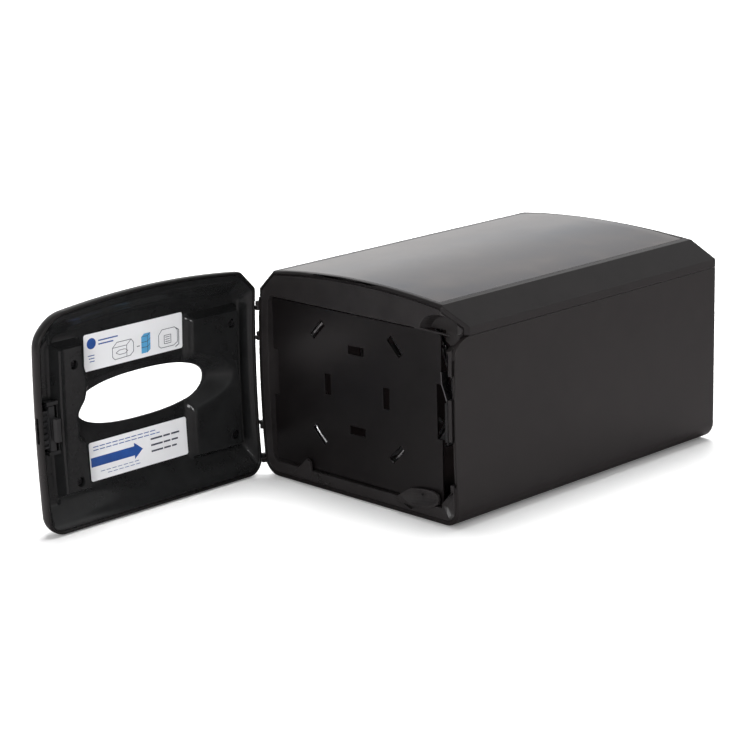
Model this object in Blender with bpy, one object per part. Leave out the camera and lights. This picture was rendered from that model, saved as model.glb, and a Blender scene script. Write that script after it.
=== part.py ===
"""Tabletop interfold napkin dispenser with its front door swung open.

World axes: +X to the right seen from the front, +Y to the rear, +Z up.
The origin is the centre of the underside of the anti-slip mat.
Sizes are in millimetres; each mesh is scaled to metres when it is made.
A span is a pair of limits along one axis.
"""
import math

import bmesh
import bpy
from mathutils import Matrix, Vector

MM = 0.001

# ------------------------------------------------------------ driving sizes
WIDTH = 193.0            # outside width of the body
LENGTH = 277.5           # outside length of the body
BASE_Z = 1.0             # underside of the housing above the table
SEAM_H = 131.7           # parting line of housing and cover, above the underside
KNEE_H = 138.0           # lower edge of the shoulder chamfer, above the underside
SHOULDER_H = 152.4       # upper edge of the shoulder chamfer, above the underside
SHOULDER_X = 82.2        # half width of the crowned top
CROWN = 5.3              # rise of the crowned top
CORNER_R = 12.6          # radius of the lower long edges
REAR_SLOPE = 10.8        # how far the top stops short of the rear face
WALL = 3.0               # wall of housing and cover
BOW = 3.0                # forward bow of the front rim at mid height
BOW_MID_H = 76.0         # height of the middle of that bow
CLEAR = 0.3              # clearance between touching pieces
CORNER_CUT = 12.0        # depth of the cut-back front corner on the right

HALF_W = WIDTH / 2
FRONT = -LENGTH / 2
REAR = LENGTH / 2
SEAM_Z = SEAM_H + BASE_Z
HOUSING_TOP = SEAM_Z - CLEAR / 2
COVER_LOW = SEAM_Z + CLEAR / 2

PAST = 5.0               # how far a cutter runs past the piece it cuts
ABOVE = 200.0            # a height above the whole product

BEZEL_DEPTH = 12.0
BEZEL_BACK = FRONT + BEZEL_DEPTH

MAT_SIZE = (139.4, 219.4, 1.5)
REAR_SCREW_X = 88.5      # left and right of centre
REAR_SCREW_Z = (20.0, 118.0)

RAIL_X = 50.0            # rails left and right of centre
RAIL_HALF_W = 4.0
RAIL_TOP = 9.6
RAIL_GAP = 0.4           # shoe groove to rail

COIL_X = -3.9            # centre of the pusher spring and its seat
COIL_Z = 77.9

# hinge: the upright axis lies left of the body and in front of the rim
AXIS_OUT = 1.5
AXIS_FRONT = 1.0
AXIS_X = -HALF_W - AXIS_OUT
AXIS_Y = FRONT - AXIS_FRONT
KNUCKLE_R = 1.9
PIN_R = 0.9
# z spans of the housing lug and the door knuckle of each hinge point, upward
LUGS = [(9.0, 12.0), (34.5, 37.2), (104.0, 106.7), (126.2, 129.2)]
KNUCKLES = [(12.4, 15.4), (37.6, 40.3), (100.9, 103.6), (122.8, 125.8)]

LATCH_Z = 75.0           # middle height of the latch


# -------------------------------------------------------------------- scene
def clear_scene():
    for obj in list(bpy.data.objects):
        bpy.data.objects.remove(obj, do_unlink=True)
    for collection in list(bpy.data.collections):
        bpy.data.collections.remove(collection)


clear_scene()
PARTS = bpy.data.collections.new("napkin_dispenser")
bpy.context.scene.collection.children.link(PARTS)


def make_material(name, colour, roughness, metallic=0.0):
    material = bpy.data.materials.new(name)
    material.use_nodes = True
    shader = material.node_tree.nodes["Principled BSDF"]
    shader.inputs["Base Color"].default_value = (*colour, 1.0)
    shader.inputs["Roughness"].default_value = roughness
    shader.inputs["Metallic"].default_value = metallic
    material.diffuse_color = (*colour, 1.0)
    return material


# ------------------------------------------------------------------- solids
def about(centre, half):
    """Span reaching half to both sides of a centre."""
    return (centre - half, centre + half)


def new_object(name, mesh):
    """Object from a bmesh built in millimetres."""
    bmesh.ops.remove_doubles(mesh, verts=mesh.verts, dist=1e-4)
    bmesh.ops.recalc_face_normals(mesh, faces=mesh.faces)
    bmesh.ops.scale(mesh, vec=(MM, MM, MM), verts=mesh.verts)
    data = bpy.data.meshes.new(name)
    mesh.to_mesh(data)
    mesh.free()
    obj = bpy.data.objects.new(name, data)
    PARTS.objects.link(obj)
    return obj


def place(mesh, size, centre, turn=0.0):
    """Scale a unit bmesh, turn it about Y by radians and move it."""
    bmesh.ops.scale(mesh, vec=size, verts=mesh.verts)
    if turn:
        bmesh.ops.rotate(mesh, matrix=Matrix.Rotation(turn, 3, "Y"), verts=mesh.verts)
    bmesh.ops.translate(mesh, vec=centre, verts=mesh.verts)
    return mesh


def cube(size, centre, turn=0.0):
    mesh = bmesh.new()
    bmesh.ops.create_cube(mesh, size=1.0)
    return place(mesh, size, centre, turn)


def box(x_span, y_span, z_span, bevel=0.0, name="tool"):
    spans = [sorted(span) for span in (x_span, y_span, z_span)]
    mesh = cube([high - low for low, high in spans], [(low + high) / 2 for low, high in spans])
    if bevel:
        bmesh.ops.bevel(mesh, geom=list(mesh.edges), offset=bevel, segments=1,
                        affect="EDGES", profile=0.5)
    return new_object(name, mesh)


def rod(start, end, radius, end_radius=None, sides=20, name="tool"):
    """Round bar or cone between two points."""
    end_radius = radius if end_radius is None else end_radius
    start, end = Vector(start), Vector(end)
    run = end - start
    mesh = bmesh.new()
    bmesh.ops.create_cone(mesh, cap_ends=True, segments=sides, radius1=radius,
                          radius2=end_radius, depth=run.length)
    turn = Vector((0, 0, 1)).rotation_difference(run.normalized()).to_matrix().to_4x4()
    bmesh.ops.transform(mesh, matrix=Matrix.Translation((start + end) / 2) @ turn,
                        verts=mesh.verts)
    return new_object(name, mesh)


def rod_y(x, z, y_span, radius, end_radius=None, sides=20, name="tool"):
    return rod((x, y_span[0], z), (x, y_span[1], z), radius, end_radius, sides, name)


def rod_z(x, y, z_span, radius, sides=20, name="tool"):
    return rod((x, y, z_span[0]), (x, y, z_span[1]), radius, sides=sides, name=name)


def prism(points, span, plane="xz", name="tool"):
    """Flat outline pushed along the third axis."""
    def corners(depth):
        place_point = {"xz": lambda p, q: (p, depth, q),
                       "yz": lambda p, q: (depth, p, q),
                       "xy": lambda p, q: (p, q, depth)}[plane]
        return [mesh.verts.new(place_point(*point)) for point in points]
    mesh = bmesh.new()
    near, far = corners(span[0]), corners(span[1])
    mesh.faces.new(near)
    mesh.faces.new(list(reversed(far)))
    for i in range(len(points)):
        j = (i + 1) % len(points)
        mesh.faces.new((near[i], far[i], far[j], near[j]))
    return new_object(name, mesh)


def hull(points):
    mesh = bmesh.new()
    for point in points:
        mesh.verts.new(point)
    result = bmesh.ops.convex_hull(mesh, input=mesh.verts)
    inside = [item for item in result["geom_interior"] if isinstance(item, bmesh.types.BMVert)]
    bmesh.ops.delete(mesh, geom=inside, context="VERTS")
    return new_object("tool", mesh)


def skin(mesh, rings):
    """Quads between each ring of vertices and the next."""
    for ring, following in zip(rings, rings[1:]):
        for i in range(len(ring)):
            j = (i + 1) % len(ring)
            mesh.faces.new((ring[i], ring[j], following[j], following[i]))


def helix(name, radius, wire, span, turns, steps, side, up, axis="y"):
    """Coil about a level axis, its end turns closed flat.

    wire is the wire radius, steps the points per turn; side and up are the
    level and upright coordinates of the coil's axis.
    """
    closed = 0.9                     # turns closed flat at each end
    closed_pitch = 2 * wire * 1.04
    start, end = span
    curve = bpy.data.curves.new(name, "CURVE")
    curve.dimensions = "3D"
    curve.bevel_depth = wire * MM
    curve.bevel_resolution = 1
    curve.use_fill_caps = True
    spline = curve.splines.new("POLY")
    spline.points.add(turns * steps)
    open_start = start + wire + closed_pitch * closed
    open_end = end - wire - closed_pitch * closed
    for i, point in enumerate(spline.points):
        turn = i / steps
        if turn <= closed:
            along = start + wire + closed_pitch * turn
        elif turn >= turns - closed:
            along = end - wire - closed_pitch * (turns - turn)
        else:
            along = open_start + ((open_end - open_start) * (turn - closed)
                                  / (turns - 2 * closed))
        angle = math.pi / 2 + 2 * math.pi * turn
        across, z = side + radius * math.cos(angle), up + radius * math.sin(angle)
        x, y = (across, along) if axis == "y" else (along, across)
        point.co = (x * MM, y * MM, z * MM, 1)
    holder = bpy.data.objects.new(name + "_c", curve)
    PARTS.objects.link(holder)
    bpy.context.view_layer.update()
    depsgraph = bpy.context.evaluated_depsgraph_get()
    data = bpy.data.meshes.new_from_object(holder.evaluated_get(depsgraph))
    mesh = bmesh.new()
    mesh.from_mesh(data)
    bmesh.ops.remove_doubles(mesh, verts=mesh.verts, dist=1e-6)
    bmesh.ops.recalc_face_normals(mesh, faces=mesh.faces)
    mesh.to_mesh(data)
    mesh.free()
    bpy.data.objects.remove(holder, do_unlink=True)
    data.name = name
    obj = bpy.data.objects.new(name, data)
    PARTS.objects.link(obj)
    return obj


# --------------------------------------------------------- changes to solids
def boolean(target, tool, operation):
    """Apply one boolean, use up the tool and tidy the mesh."""
    modifier = target.modifiers.new("cut", "BOOLEAN")
    modifier.operation = operation
    modifier.solver = "EXACT"
    modifier.object = tool
    bpy.context.view_layer.update()
    depsgraph = bpy.context.evaluated_depsgraph_get()
    data = bpy.data.meshes.new_from_object(target.evaluated_get(depsgraph))
    target.modifiers.clear()
    old = target.data
    target.data = data
    bpy.data.meshes.remove(old)
    data.name = target.name
    bpy.data.objects.remove(tool, do_unlink=True)
    mesh = bmesh.new()
    mesh.from_mesh(data)
    bmesh.ops.remove_doubles(mesh, verts=mesh.verts, dist=2e-6)
    bmesh.ops.dissolve_degenerate(mesh, edges=mesh.edges, dist=2e-6)
    mesh.to_mesh(data)
    mesh.free()


def cut(target, *tools):
    for tool in tools:
        boolean(target, tool, "DIFFERENCE")


def join(target, *tools):
    for tool in tools:
        boolean(target, tool, "UNION")


def bow_at(z):
    """Forward bow of the rim at world height z."""
    t = (z - BASE_Z - BOW_MID_H) / BOW_MID_H
    return BOW * max(0.0, 1.0 - t * t)


def bow_front(obj, reach, step=12.0):
    """Slice at level heights, then bow everything in front of reach forward."""
    margin = 0.5                     # no slice this close to top or bottom
    mesh = bmesh.new()
    mesh.from_mesh(obj.data)
    heights = [vert.co.z / MM for vert in mesh.verts]
    low, high = min(heights) + margin, max(heights) - margin
    z = BASE_Z + 4.0
    while z < high:
        if z > low:
            bmesh.ops.bisect_plane(
                mesh, geom=list(mesh.verts) + list(mesh.edges) + list(mesh.faces),
                dist=1e-6, plane_co=(0, 0, z * MM), plane_no=(0, 0, 1))
        z += step
    for vert in mesh.verts:
        if vert.co.y / MM < reach:
            vert.co.y -= bow_at(vert.co.z / MM) * MM
    bmesh.ops.triangulate(mesh, faces=[face for face in mesh.faces if len(face.verts) > 4])
    mesh.to_mesh(obj.data)
    mesh.free()


def slice_off(obj, point, normal):
    """Cut away the side the normal points to and close the cut."""
    mesh = bmesh.new()
    mesh.from_mesh(obj.data)
    result = bmesh.ops.bisect_plane(
        mesh, geom=list(mesh.verts) + list(mesh.edges) + list(mesh.faces),
        dist=1e-7, plane_co=[c * MM for c in point], plane_no=normal, clear_outer=True)
    edges = [item for item in result["geom_cut"] if isinstance(item, bmesh.types.BMEdge)]
    bmesh.ops.contextual_create(mesh, geom=edges)
    bmesh.ops.recalc_face_normals(mesh, faces=mesh.faces)
    mesh.to_mesh(obj.data)
    mesh.free()


def finish(obj, material, sharp_angle=30):
    """Set the material; shade smooth up to sharp_angle degrees, or flat if None."""
    obj.data.materials.clear()
    obj.data.materials.append(material)
    if sharp_angle:
        for face in obj.data.polygons:
            face.use_smooth = True
        obj.data.set_sharp_from_angle(angle=math.radians(sharp_angle))


# ----------------------------------------------------------------- outlines
FLAT_STEPS = 7           # points along each stretch of the body outline
CORNER_STEPS = 7
SIDE_STEPS = 8
TOP_STEPS = 12
WINDOW_STEPS = 10        # steps across the recess, card and window


def crown_z(x):
    """Height of the crowned top at x, above the underside of the housing."""
    radius = (SHOULDER_X ** 2 + CROWN ** 2) / (2 * CROWN)
    return SHOULDER_H + CROWN - radius + math.sqrt(radius * radius - x * x)


def crown_arc(half, drop):
    """World (x, z) points right to left, drop below the crown."""
    xs = [half * (1 - 2 * i / WINDOW_STEPS) for i in range(WINDOW_STEPS + 1)]
    return [(x, crown_z(x) + BASE_Z - drop) for x in xs]


def body_outline():
    """Closed (x, z) body section above the underside, anticlockwise from lower left."""
    r = CORNER_R
    points = [(-HALF_W + r + (WIDTH - 2 * r) * i / FLAT_STEPS, 0.0) for i in range(FLAT_STEPS)]
    for i in range(CORNER_STEPS):
        angle = -math.pi / 2 + math.pi / 2 * i / CORNER_STEPS
        points.append((HALF_W - r + r * math.cos(angle), r + r * math.sin(angle)))
    points += [(HALF_W, r + (KNEE_H - r) * i / SIDE_STEPS) for i in range(SIDE_STEPS)]
    points.append((HALF_W, KNEE_H))
    for i in range(TOP_STEPS + 1):
        x = SHOULDER_X * (1 - 2 * i / TOP_STEPS)
        points.append((x, crown_z(x)))
    points += [(-HALF_W, KNEE_H - (KNEE_H - r) * i / SIDE_STEPS)
               for i in range(SIDE_STEPS + 1)]
    for i in range(1, CORNER_STEPS):
        angle = math.pi + math.pi / 2 * i / CORNER_STEPS
        points.append((-HALF_W + r + r * math.cos(angle), r + r * math.sin(angle)))
    return points


OUTLINE = body_outline()


def outline(inset):
    """The body outline moved inward, vertex for vertex, at world height."""
    moved = []
    for i, (x, z) in enumerate(OUTLINE):
        last_x, last_z = OUTLINE[i - 1]
        next_x, next_z = OUTLINE[(i + 1) % len(OUTLINE)]
        before = Vector((x - last_x, z - last_z)).normalized()
        after = Vector((next_x - x, next_z - z)).normalized()
        normal_before = Vector((-before.y, before.x))
        normal_after = Vector((-after.y, after.x))
        mitre = (normal_before + normal_after) / (1 + normal_before.dot(normal_after))
        moved.append((x + mitre.x * inset, z + mitre.y * inset + BASE_Z))
    return moved


def rounded_rectangle(left, right, low, high, radius, steps):
    """(x, z) outline from the lower right corner, steps per rounded corner."""
    points = []
    for x, z, start in ((right - radius, low + radius, -90), (right - radius, high - radius, 0),
                        (left + radius, high - radius, 90), (left + radius, low + radius, 180)):
        for i in range(steps + 1):
            angle = math.radians(start + 90 * i / steps)
            points.append((x + radius * math.cos(angle), z + radius * math.sin(angle)))
    return points


def from_front(points):
    """Points whose y is measured from the front rim, in world coordinates."""
    return [(x, FRONT + y, z) for x, y, z in points]


# ------------------------------------------------------- shared small pieces
def hinge_barrel(x, y, z_span):
    return rod_z(x, y, z_span, KNUCKLE_R, sides=16)


def hinge_bore(x, y, z_span):
    """Cutter for the pin hole."""
    return rod_z(x, y, (z_span[0] - 0.2, z_span[1] + 0.2), PIN_R + 0.2, sides=14)


def hinge_notch(x, y, z_span):
    """Cutter that frees the barrel of the other side."""
    return rod_z(x, y, (z_span[0] - 0.3, z_span[1] + 0.3), KNUCKLE_R + 0.5, sides=16)


# y spans are measured from the face given to build_screw
REAR_SCREW = {"head_y": (0.3, 1.9), "head_radii": (3.4, 2.6), "head_sides": 20,
              "shank_y": (-12.0, 0.6), "cross_y": (1.1, 3.0), "cross_arm": (2.2, 0.5)}
DOOR_SCREW = {"head_y": (-5.8, -3.6), "head_radii": (2.9, 2.4), "head_sides": 18,
              "shank_y": (-12.0, -5.6), "cross_y": (-4.7, 0.0), "cross_arm": (1.9, 0.45)}
SHANK_R = 1.2


def build_screw(name, position, material, head_y, head_radii, head_sides, shank_y, cross_y,
                cross_arm):
    """Cross-head screw along Y; cross_arm is half length and half width."""
    x, y, z = position

    def shifted(span):
        return [y + offset for offset in span]
    screw = rod_y(x, z, shifted(head_y), *head_radii, sides=head_sides, name=name)
    join(screw, rod_y(x, z, shifted(shank_y), SHANK_R, sides=12))
    for half_x, half_z in (cross_arm, cross_arm[::-1]):
        cut(screw, box(about(x, half_x), shifted(cross_y), about(z, half_z)))
    finish(screw, material)
    return screw


# ------------------------------------------------------------------ housing
MAT_GAP = 0.6            # recess edge to mat
# (x, y from the front rim) of the strip cut from inside the right wall
WALL_THINNING = [(92.9, -1.0), (95.7, -1.0), (95.6, 0.0), (93.45, 4.4), (92.9, 4.4)]
THINNING_Z = (30, 118)
BOSS_INNER_X = 84.0
BOSS_HALF_H = 5.0
RIB_INNER_X = 89.5
RIB_Z = (40, 112)
RIB_Y = (BEZEL_BACK + 1.0, BEZEL_BACK + 4.0)


def build_housing(material):
    """Open-topped, open-ended tray below the seam."""
    shell = prism(outline(0.0), (FRONT, REAR), name="housing_shell")
    cut(shell, prism(outline(WALL), (FRONT - PAST, REAR + PAST)))
    cut(shell, box(about(0, HALF_W + PAST), (FRONT - PAST, REAR + PAST), (HOUSING_TOP, ABOVE)))
    # rounded top front corner of the right side wall
    r = CORNER_CUT
    low = HOUSING_TOP - r
    arc = [math.pi / 2 * i / 6 for i in range(7)]
    points = [(FRONT - 1, low + r + 1), (FRONT - 1, low)]
    points += [(FRONT + r - r * math.cos(a), low + r * math.sin(a)) for a in arc]
    points += [(FRONT + r, low + r + 1)]
    cut(shell, prism(points, (0, HALF_W + PAST), "yz"))
    cut(shell, prism([(x, FRONT + y) for x, y in WALL_THINNING], THINNING_Z, "xy"))
    # recess for the mat
    cut(shell, box(about(0, MAT_SIZE[0] / 2 + MAT_GAP), about(0, MAT_SIZE[1] / 2 + MAT_GAP),
                   (0.0, MAT_SIZE[2] + CLEAR)))
    # bosses that take the rear panel screws
    mid_wall = HALF_W - WALL / 2
    for side in (-1, 1):
        for z in REAR_SCREW_Z:
            join(shell, box((side * BOSS_INNER_X, side * mid_wall), (REAR - 18, REAR - 3.4),
                            about(z, BOSS_HALF_H)))
            cut(shell, rod_y(side * REAR_SCREW_X, z, (REAR - 14, REAR), 1.5, sides=12))
    # one low rib each side keeps the bezel at its depth
    for side in (-1, 1):
        join(shell, box((side * RIB_INNER_X, side * mid_wall), RIB_Y, RIB_Z))
    bow_front(shell, FRONT + 5)
    # hinge lugs on the left front edge
    for span in LUGS:
        web_front = AXIS_Y + max(-0.9, 0.95 - bow_at(span[0]))
        join(shell, hinge_barrel(AXIS_X, AXIS_Y, span),
             box((AXIS_X, -HALF_W + 2.0), (web_front, AXIS_Y + 1.0), span))
        cut(shell, hinge_bore(AXIS_X, AXIS_Y, span))
    for span in KNUCKLES:
        cut(shell, hinge_notch(AXIS_X, AXIS_Y, span))
    finish(shell, material)


# --------------------------------------------------- cover, card and window
WINDOW_X = 77.6          # half width of the recess
WINDOW_START = FRONT + 3.3
WINDOW_END = WINDOW_START + 259.0
WINDOW_RECESS = 2.0
CLIP_YS = (-92.0, 0.0, 92.0)
CLIP_HALF_L = 12.0
# (x from the inner wall face, z from the cover's lower edge)
CLIP_PROFILE = [(-2.8, -8.0), (-0.35, -8.0), (-0.35, 0.0), (0.8, 0.6), (0.8, 4.0), (-2.8, 4.0)]


def body_top_solid(inset, y_span, base, name="tool"):
    """Solid body above height base, its rear end sloped above the knee."""
    solid = prism(outline(inset), y_span, name=name)
    cut(solid, box(about(0, HALF_W + PAST), (y_span[0] - PAST, y_span[1] + PAST), (-10, base)))
    normal = Vector((0, SHOULDER_H - KNEE_H, REAR_SLOPE)).normalized()
    slice_off(solid, Vector((0, REAR, KNEE_H + BASE_Z)) - normal * inset, normal)
    return solid


def build_cover(material):
    cover = body_top_solid(0.0, (FRONT, REAR), COVER_LOW, name="top_cover")
    cut(cover, body_top_solid(WALL, (FRONT - PAST, REAR - WALL), COVER_LOW - 3))
    # recess for card and window, its floor following the crown
    recess_top = 175.0
    points = [(WINDOW_X, recess_top), *crown_arc(WINDOW_X, WINDOW_RECESS),
              (-WINDOW_X, recess_top)]
    cut(cover, prism(points, (WINDOW_START, WINDOW_END)))
    # slanted cut across the right front corner, run on by half at both ends
    start = Vector((SHOULDER_X, FRONT))
    end = Vector((HALF_W, FRONT + CORNER_CUT))
    half = (end - start) * 0.5
    start, end = start - half, end + half
    points = [start, end, (end.x, FRONT - 12), (start.x, FRONT - 12)]
    cut(cover, prism(points, (100, 180), "xy"))
    # clip tongues that hang inside the side walls
    for side in (-1, 1):
        for y in CLIP_YS:
            points = [(side * (HALF_W - WALL + x), COVER_LOW + z) for x, z in CLIP_PROFILE]
            join(cover, prism(points, about(y, CLIP_HALF_L)))
    bow_front(cover, FRONT + 1.5, step=9.0)
    finish(cover, material)


def build_crowned_sheet(name, bottom, top, inset, material):
    """Sheet in the recess; bottom and top are drops below the crown."""
    half = WINDOW_X - inset
    points = crown_arc(half, bottom) + crown_arc(half, top)[::-1]
    finish(prism(points, (WINDOW_START + inset, WINDOW_END - inset), name=name), material)


# -------------------------------------------------------------------- bezel
OPENING = {"left": -87.0, "right": 90.0, "low": 12.5, "high": 135.0}
# Tables below: (x, y from the front rim, z), before the bow is applied.
CORNER_GUSSET = [
    (80.9, 0.0, 137), (80.9, 0.0, 127), (91.0, 0.0, 121), (92.5, 0.0, 137),
    (80.9, 11.5, 137), (80.9, 11.5, 129), (91.0, 11.5, 121), (92.5, 11.5, 137)]
SLANT_X = (SHOULDER_X - 2.38, SHOULDER_X, HALF_W + 0.5)
SLANT_Y = CORNER_CUT + 0.42
SLANT_CUT = [
    (SLANT_X[1], 0.0, 125.5), (SLANT_X[0], -2.0, 125.5),
    (SLANT_X[2], -2.0, 122.0), (SLANT_X[2], SLANT_Y, 138.0),
    (SLANT_X[1], 0.0, 180.0), (SLANT_X[0], -2.0, 180.0),
    (SLANT_X[2], -2.0, 180.0), (SLANT_X[2], SLANT_Y, 180.0)]
POCKET_LIP = [
    (58.0, 0.1, 135.8), (58.0, 2.0, 135.8), (90.5, 0.1, 134.6), (90.5, 2.0, 134.6),
    (58.0, 0.1, 134.4), (58.0, 2.0, 134.4), (90.5, 0.1, 133.9), (90.5, 2.0, 133.9)]
LOW_GUSSET = [(81.0, 15.4), (92.0, 27.4), (92.0, 13.0), (86.0, 7.0), (81.0, 7.0)]  # (x, z)
LOW_GUSSET_HOLLOW = [
    (80.2, -2.0, 15.2), (85.6, -2.0, 4.3), (92.0, -2.0, 5.0), (92.3, -2.0, 28.0),
    (91.0, -2.0, 27.0), (84.5, 1.6, 14.0), (87.5, 1.6, 9.0), (91.4, 3.2, 9.0),
    (91.6, 3.2, 25.0)]
SILL_GUIDE = [
    (-68, -0.6, 6.0), (-47.0, -0.6, 5.0), (-50.5, -1.5, 21.0), (-47.5, -1.5, 19.5),
    (-68, 0.6, 6.0), (-46.4, 0.6, 5.0), (-50.5, 0.6, 21.2), (-47.0, 0.6, 19.5)]
# (x, z) outline of the finger tab and of the notch below it
FINGER_TAB = [
    (38.0, 10.4), (42.0, 14.4), (46.5, 17.9), (51.5, 20.6), (58.0, 22.2), (66.0, 23.0),
    (73.0, 23.2), (78.8, 21.9), (79.6, 18.6), (79.0, 15.2), (74.5, 12.2), (69.2, 10.4),
    (62.5, 9.2), (55.5, 8.9), (48.5, 9.0), (42.5, 9.4)]
TAB_NOTCH = [(42.5, 8.6), (57.0, 8.4), (50.5, 5.0)]
SETBACK_ZS = ((31, 61.5), (90.5, 106.5))


def corner_pocket():
    """Cutter: tapered arch hollow in the upper right of the bar."""
    mesh = bmesh.new()
    bmesh.ops.create_cone(mesh, cap_ends=True, segments=32, radius1=1.0, radius2=0.72,
                          depth=1.0)
    bmesh.ops.rotate(mesh, matrix=Matrix.Rotation(-math.pi / 2, 3, "X"), verts=mesh.verts)
    place(mesh, size=(20.0, 9.5, 13.2), centre=(81.5, FRONT + 2.75, 134.4))
    return new_object("tool", mesh)


def tab_dish():
    """Cutter: long slanted dish in the finger tab."""
    mesh = bmesh.new()
    bmesh.ops.create_uvsphere(mesh, u_segments=28, v_segments=14, radius=1.0)
    place(mesh, size=(23.5, 6.6, 9.4), centre=(62.5, FRONT - 6.0, 18.2),
          turn=math.radians(-8))
    return new_object("tool", mesh)


def build_bezel(material):
    """Frame inside the front end of the body."""
    bezel = prism(outline(WALL + CLEAR), (FRONT, BEZEL_BACK), name="front_bezel")
    cut(bezel, prism(rounded_rectangle(**OPENING, radius=5.0, steps=4),
                     (FRONT - PAST, BEZEL_BACK + PAST)))
    # relief behind the top bar for the front coil of the pusher spring
    cut(bezel, box(about(0, 32), (FRONT + 3.2, BEZEL_BACK + 1),
                   (OPENING["high"] - 2, OPENING["high"] + 2.6)))
    # upper right corner: a gusset, then the cover's slanted cut, which ends
    # on a sloped ledge and leaves a triangular facet
    join(bezel, hull(from_front(CORNER_GUSSET)))
    cut(bezel, hull(from_front(SLANT_CUT)))
    cut(bezel, corner_pocket())
    join(bezel, hull(from_front(POCKET_LIP)))
    # right bar set back below and above the catch
    for z_span in SETBACK_ZS:
        cut(bezel, box((89.0, 95.0), (FRONT - PAST, FRONT + 4.4), z_span))
    # gusset across the lower right corner with a shallow V-shaped hollow
    join(bezel, hull(from_front([(x, y, z) for y in (0.0, 8.0) for x, z in LOW_GUSSET])))
    cut(bezel, hull(from_front(LOW_GUSSET_HOLLOW)))
    # finger tab at the right of the sill
    join(bezel, prism(FINGER_TAB, (FRONT - 2.0, FRONT + 0.6)))
    cut(bezel, tab_dish())
    cut(bezel, prism(TAB_NOTCH, (FRONT - 3, FRONT + 2.2)))
    # three-sided guide at the left of the sill
    join(bezel, hull(from_front(SILL_GUIDE)))
    # the reach lies behind the bezel, so all of it follows the bow
    bow_front(bezel, FRONT + 40)
    finish(bezel, material)


# ------------------------------------------------------- rear panel and mat
def build_rear_panel(material):
    """Plate inside the housing, closed above by the rear wall of the cover."""
    panel = prism(outline(WALL + CLEAR), (REAR - WALL, REAR), name="rear_panel")
    cut(panel, box(about(0, HALF_W), about(REAR, 20), (HOUSING_TOP, ABOVE)))
    # shallow field pressed into the outside
    cut(panel, box(about(0, 76), (REAR - 1.0, REAR + 2), (24, 118)))
    for z in REAR_SCREW_Z:
        for side in (-1, 1):
            cut(panel, rod_y(side * REAR_SCREW_X, z, about(REAR, PAST), 1.9, sides=16))
    finish(panel, material)


def build_rear_screws(material):
    places = [(side * REAR_SCREW_X, REAR, z) for z in REAR_SCREW_Z for side in (-1, 1)]
    for i, position in enumerate(places):
        build_screw("rear_screw_%d" % (i + 1), position, material, **REAR_SCREW)


def build_mat(material):
    mesh = cube(MAT_SIZE, (0, 0, MAT_SIZE[2] / 2))
    upright = [edge for edge in mesh.edges
               if abs((edge.verts[0].co - edge.verts[1].co).z) > 1.0]
    bmesh.ops.bevel(mesh, geom=upright, offset=6.0, segments=4, affect="EDGES", profile=0.5)
    finish(new_object("anti_slip_mat", mesh), material)


# ------------------------------------------------------------------- pusher
PLATE = {"left": -85.3, "right": 80.5, "low": 14.0, "high": 133.6}
PLATE_FRONT = FRONT + 1.0
PLATE_BACK = PLATE_FRONT + 1.5
PATTERN_X = -0.9         # centre of the slot pattern
PATTERN_Z = 79.2
SLOT_INNER = 28.9        # square slots, from the pattern centre
SLOT_OUTER = 38.1 * math.sqrt(2)     # diagonal slots, 38.1 away in both x and z
TAB_INSET = 5.0          # hooked tabs inward of the diagonal slots
FLANGE_HALF_W = 66.0     # flange and shoe
SHOE_SCREW_X = 30.0


def radial_bar(radius, angle, size, y):
    """Bar on the slot pattern; size is radial, through the plate, tangential."""
    centre = (PATTERN_X + radius * math.cos(angle), y, PATTERN_Z + radius * math.sin(angle))
    return new_object("tool", cube(size, centre, turn=-angle))


def build_pusher_plate(material):
    plate = prism(rounded_rectangle(**PLATE, radius=3.0, steps=3), (PLATE_FRONT, PLATE_BACK),
                  name="pusher_plate")
    # bottom flange that carries the slide shoe
    low = PLATE["low"]
    join(plate, box(about(0, FLANGE_HALF_W), (PLATE_FRONT + 0.4, FRONT + 22),
                    (low + 0.4, low + 1.9)))
    for side in (-1, 1):
        cut(plate, rod_z(side * SHOE_SCREW_X, FRONT + 14, (low - 2, low + 4), 1.7, sides=12))
    # side notches
    through = (PLATE_FRONT - 2, PLATE_BACK + 2)
    cut(plate, box((PLATE["right"] - 4.4, 90), through, (60, 98.6)),
        box((-95, PLATE["left"] + 4.6), through, (62, 96)))
    # eight slots, the inner four square to the frame, the outer four diagonal
    for k in range(4):
        angle = math.radians(90 * k)
        cut(plate, radial_bar(SLOT_INNER, angle, (6.0, 12.0, 15.2), PLATE_FRONT + 1))
        cut(plate, radial_bar(SLOT_OUTER, angle + math.pi / 4, (5.2, 12.0, 15.8),
                              PLATE_FRONT + 1))
    # tabs beside the diagonal slots hold the end coil from inside
    for k in range(4):
        join(plate, radial_bar(SLOT_OUTER - TAB_INSET, math.radians(90 * k + 45),
                               (1.4, 5.2, 10.0), PLATE_BACK + 2.4))
    finish(plate, material)


def build_slide_shoe(material):
    """Block under the flange, grooved for the two rails."""
    shoe = box(about(0, FLANGE_HALF_W), (FRONT + 13.5, FRONT + 40), (6.2, PLATE["low"] + 0.1),
               name="slide_shoe")
    for side in (-1, 1):
        cut(shoe, box(about(side * RAIL_X, RAIL_HALF_W + RAIL_GAP), (FRONT + 5, FRONT + 50),
                      (0, RAIL_TOP + RAIL_GAP)))
        cut(shoe, rod_z(side * SHOE_SCREW_X, FRONT + 18, (8, 20), 1.2, sides=12))
    finish(shoe, material)


def build_rails(material):
    for name, side in (("slide_rail_left", -1), ("slide_rail_right", 1)):
        rail = box(about(side * RAIL_X, RAIL_HALF_W), (BEZEL_BACK + 1.5, REAR - 4.0),
                   (BASE_Z + WALL + 0.05, RAIL_TOP), bevel=0.8, name=name)
        finish(rail, material)


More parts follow.
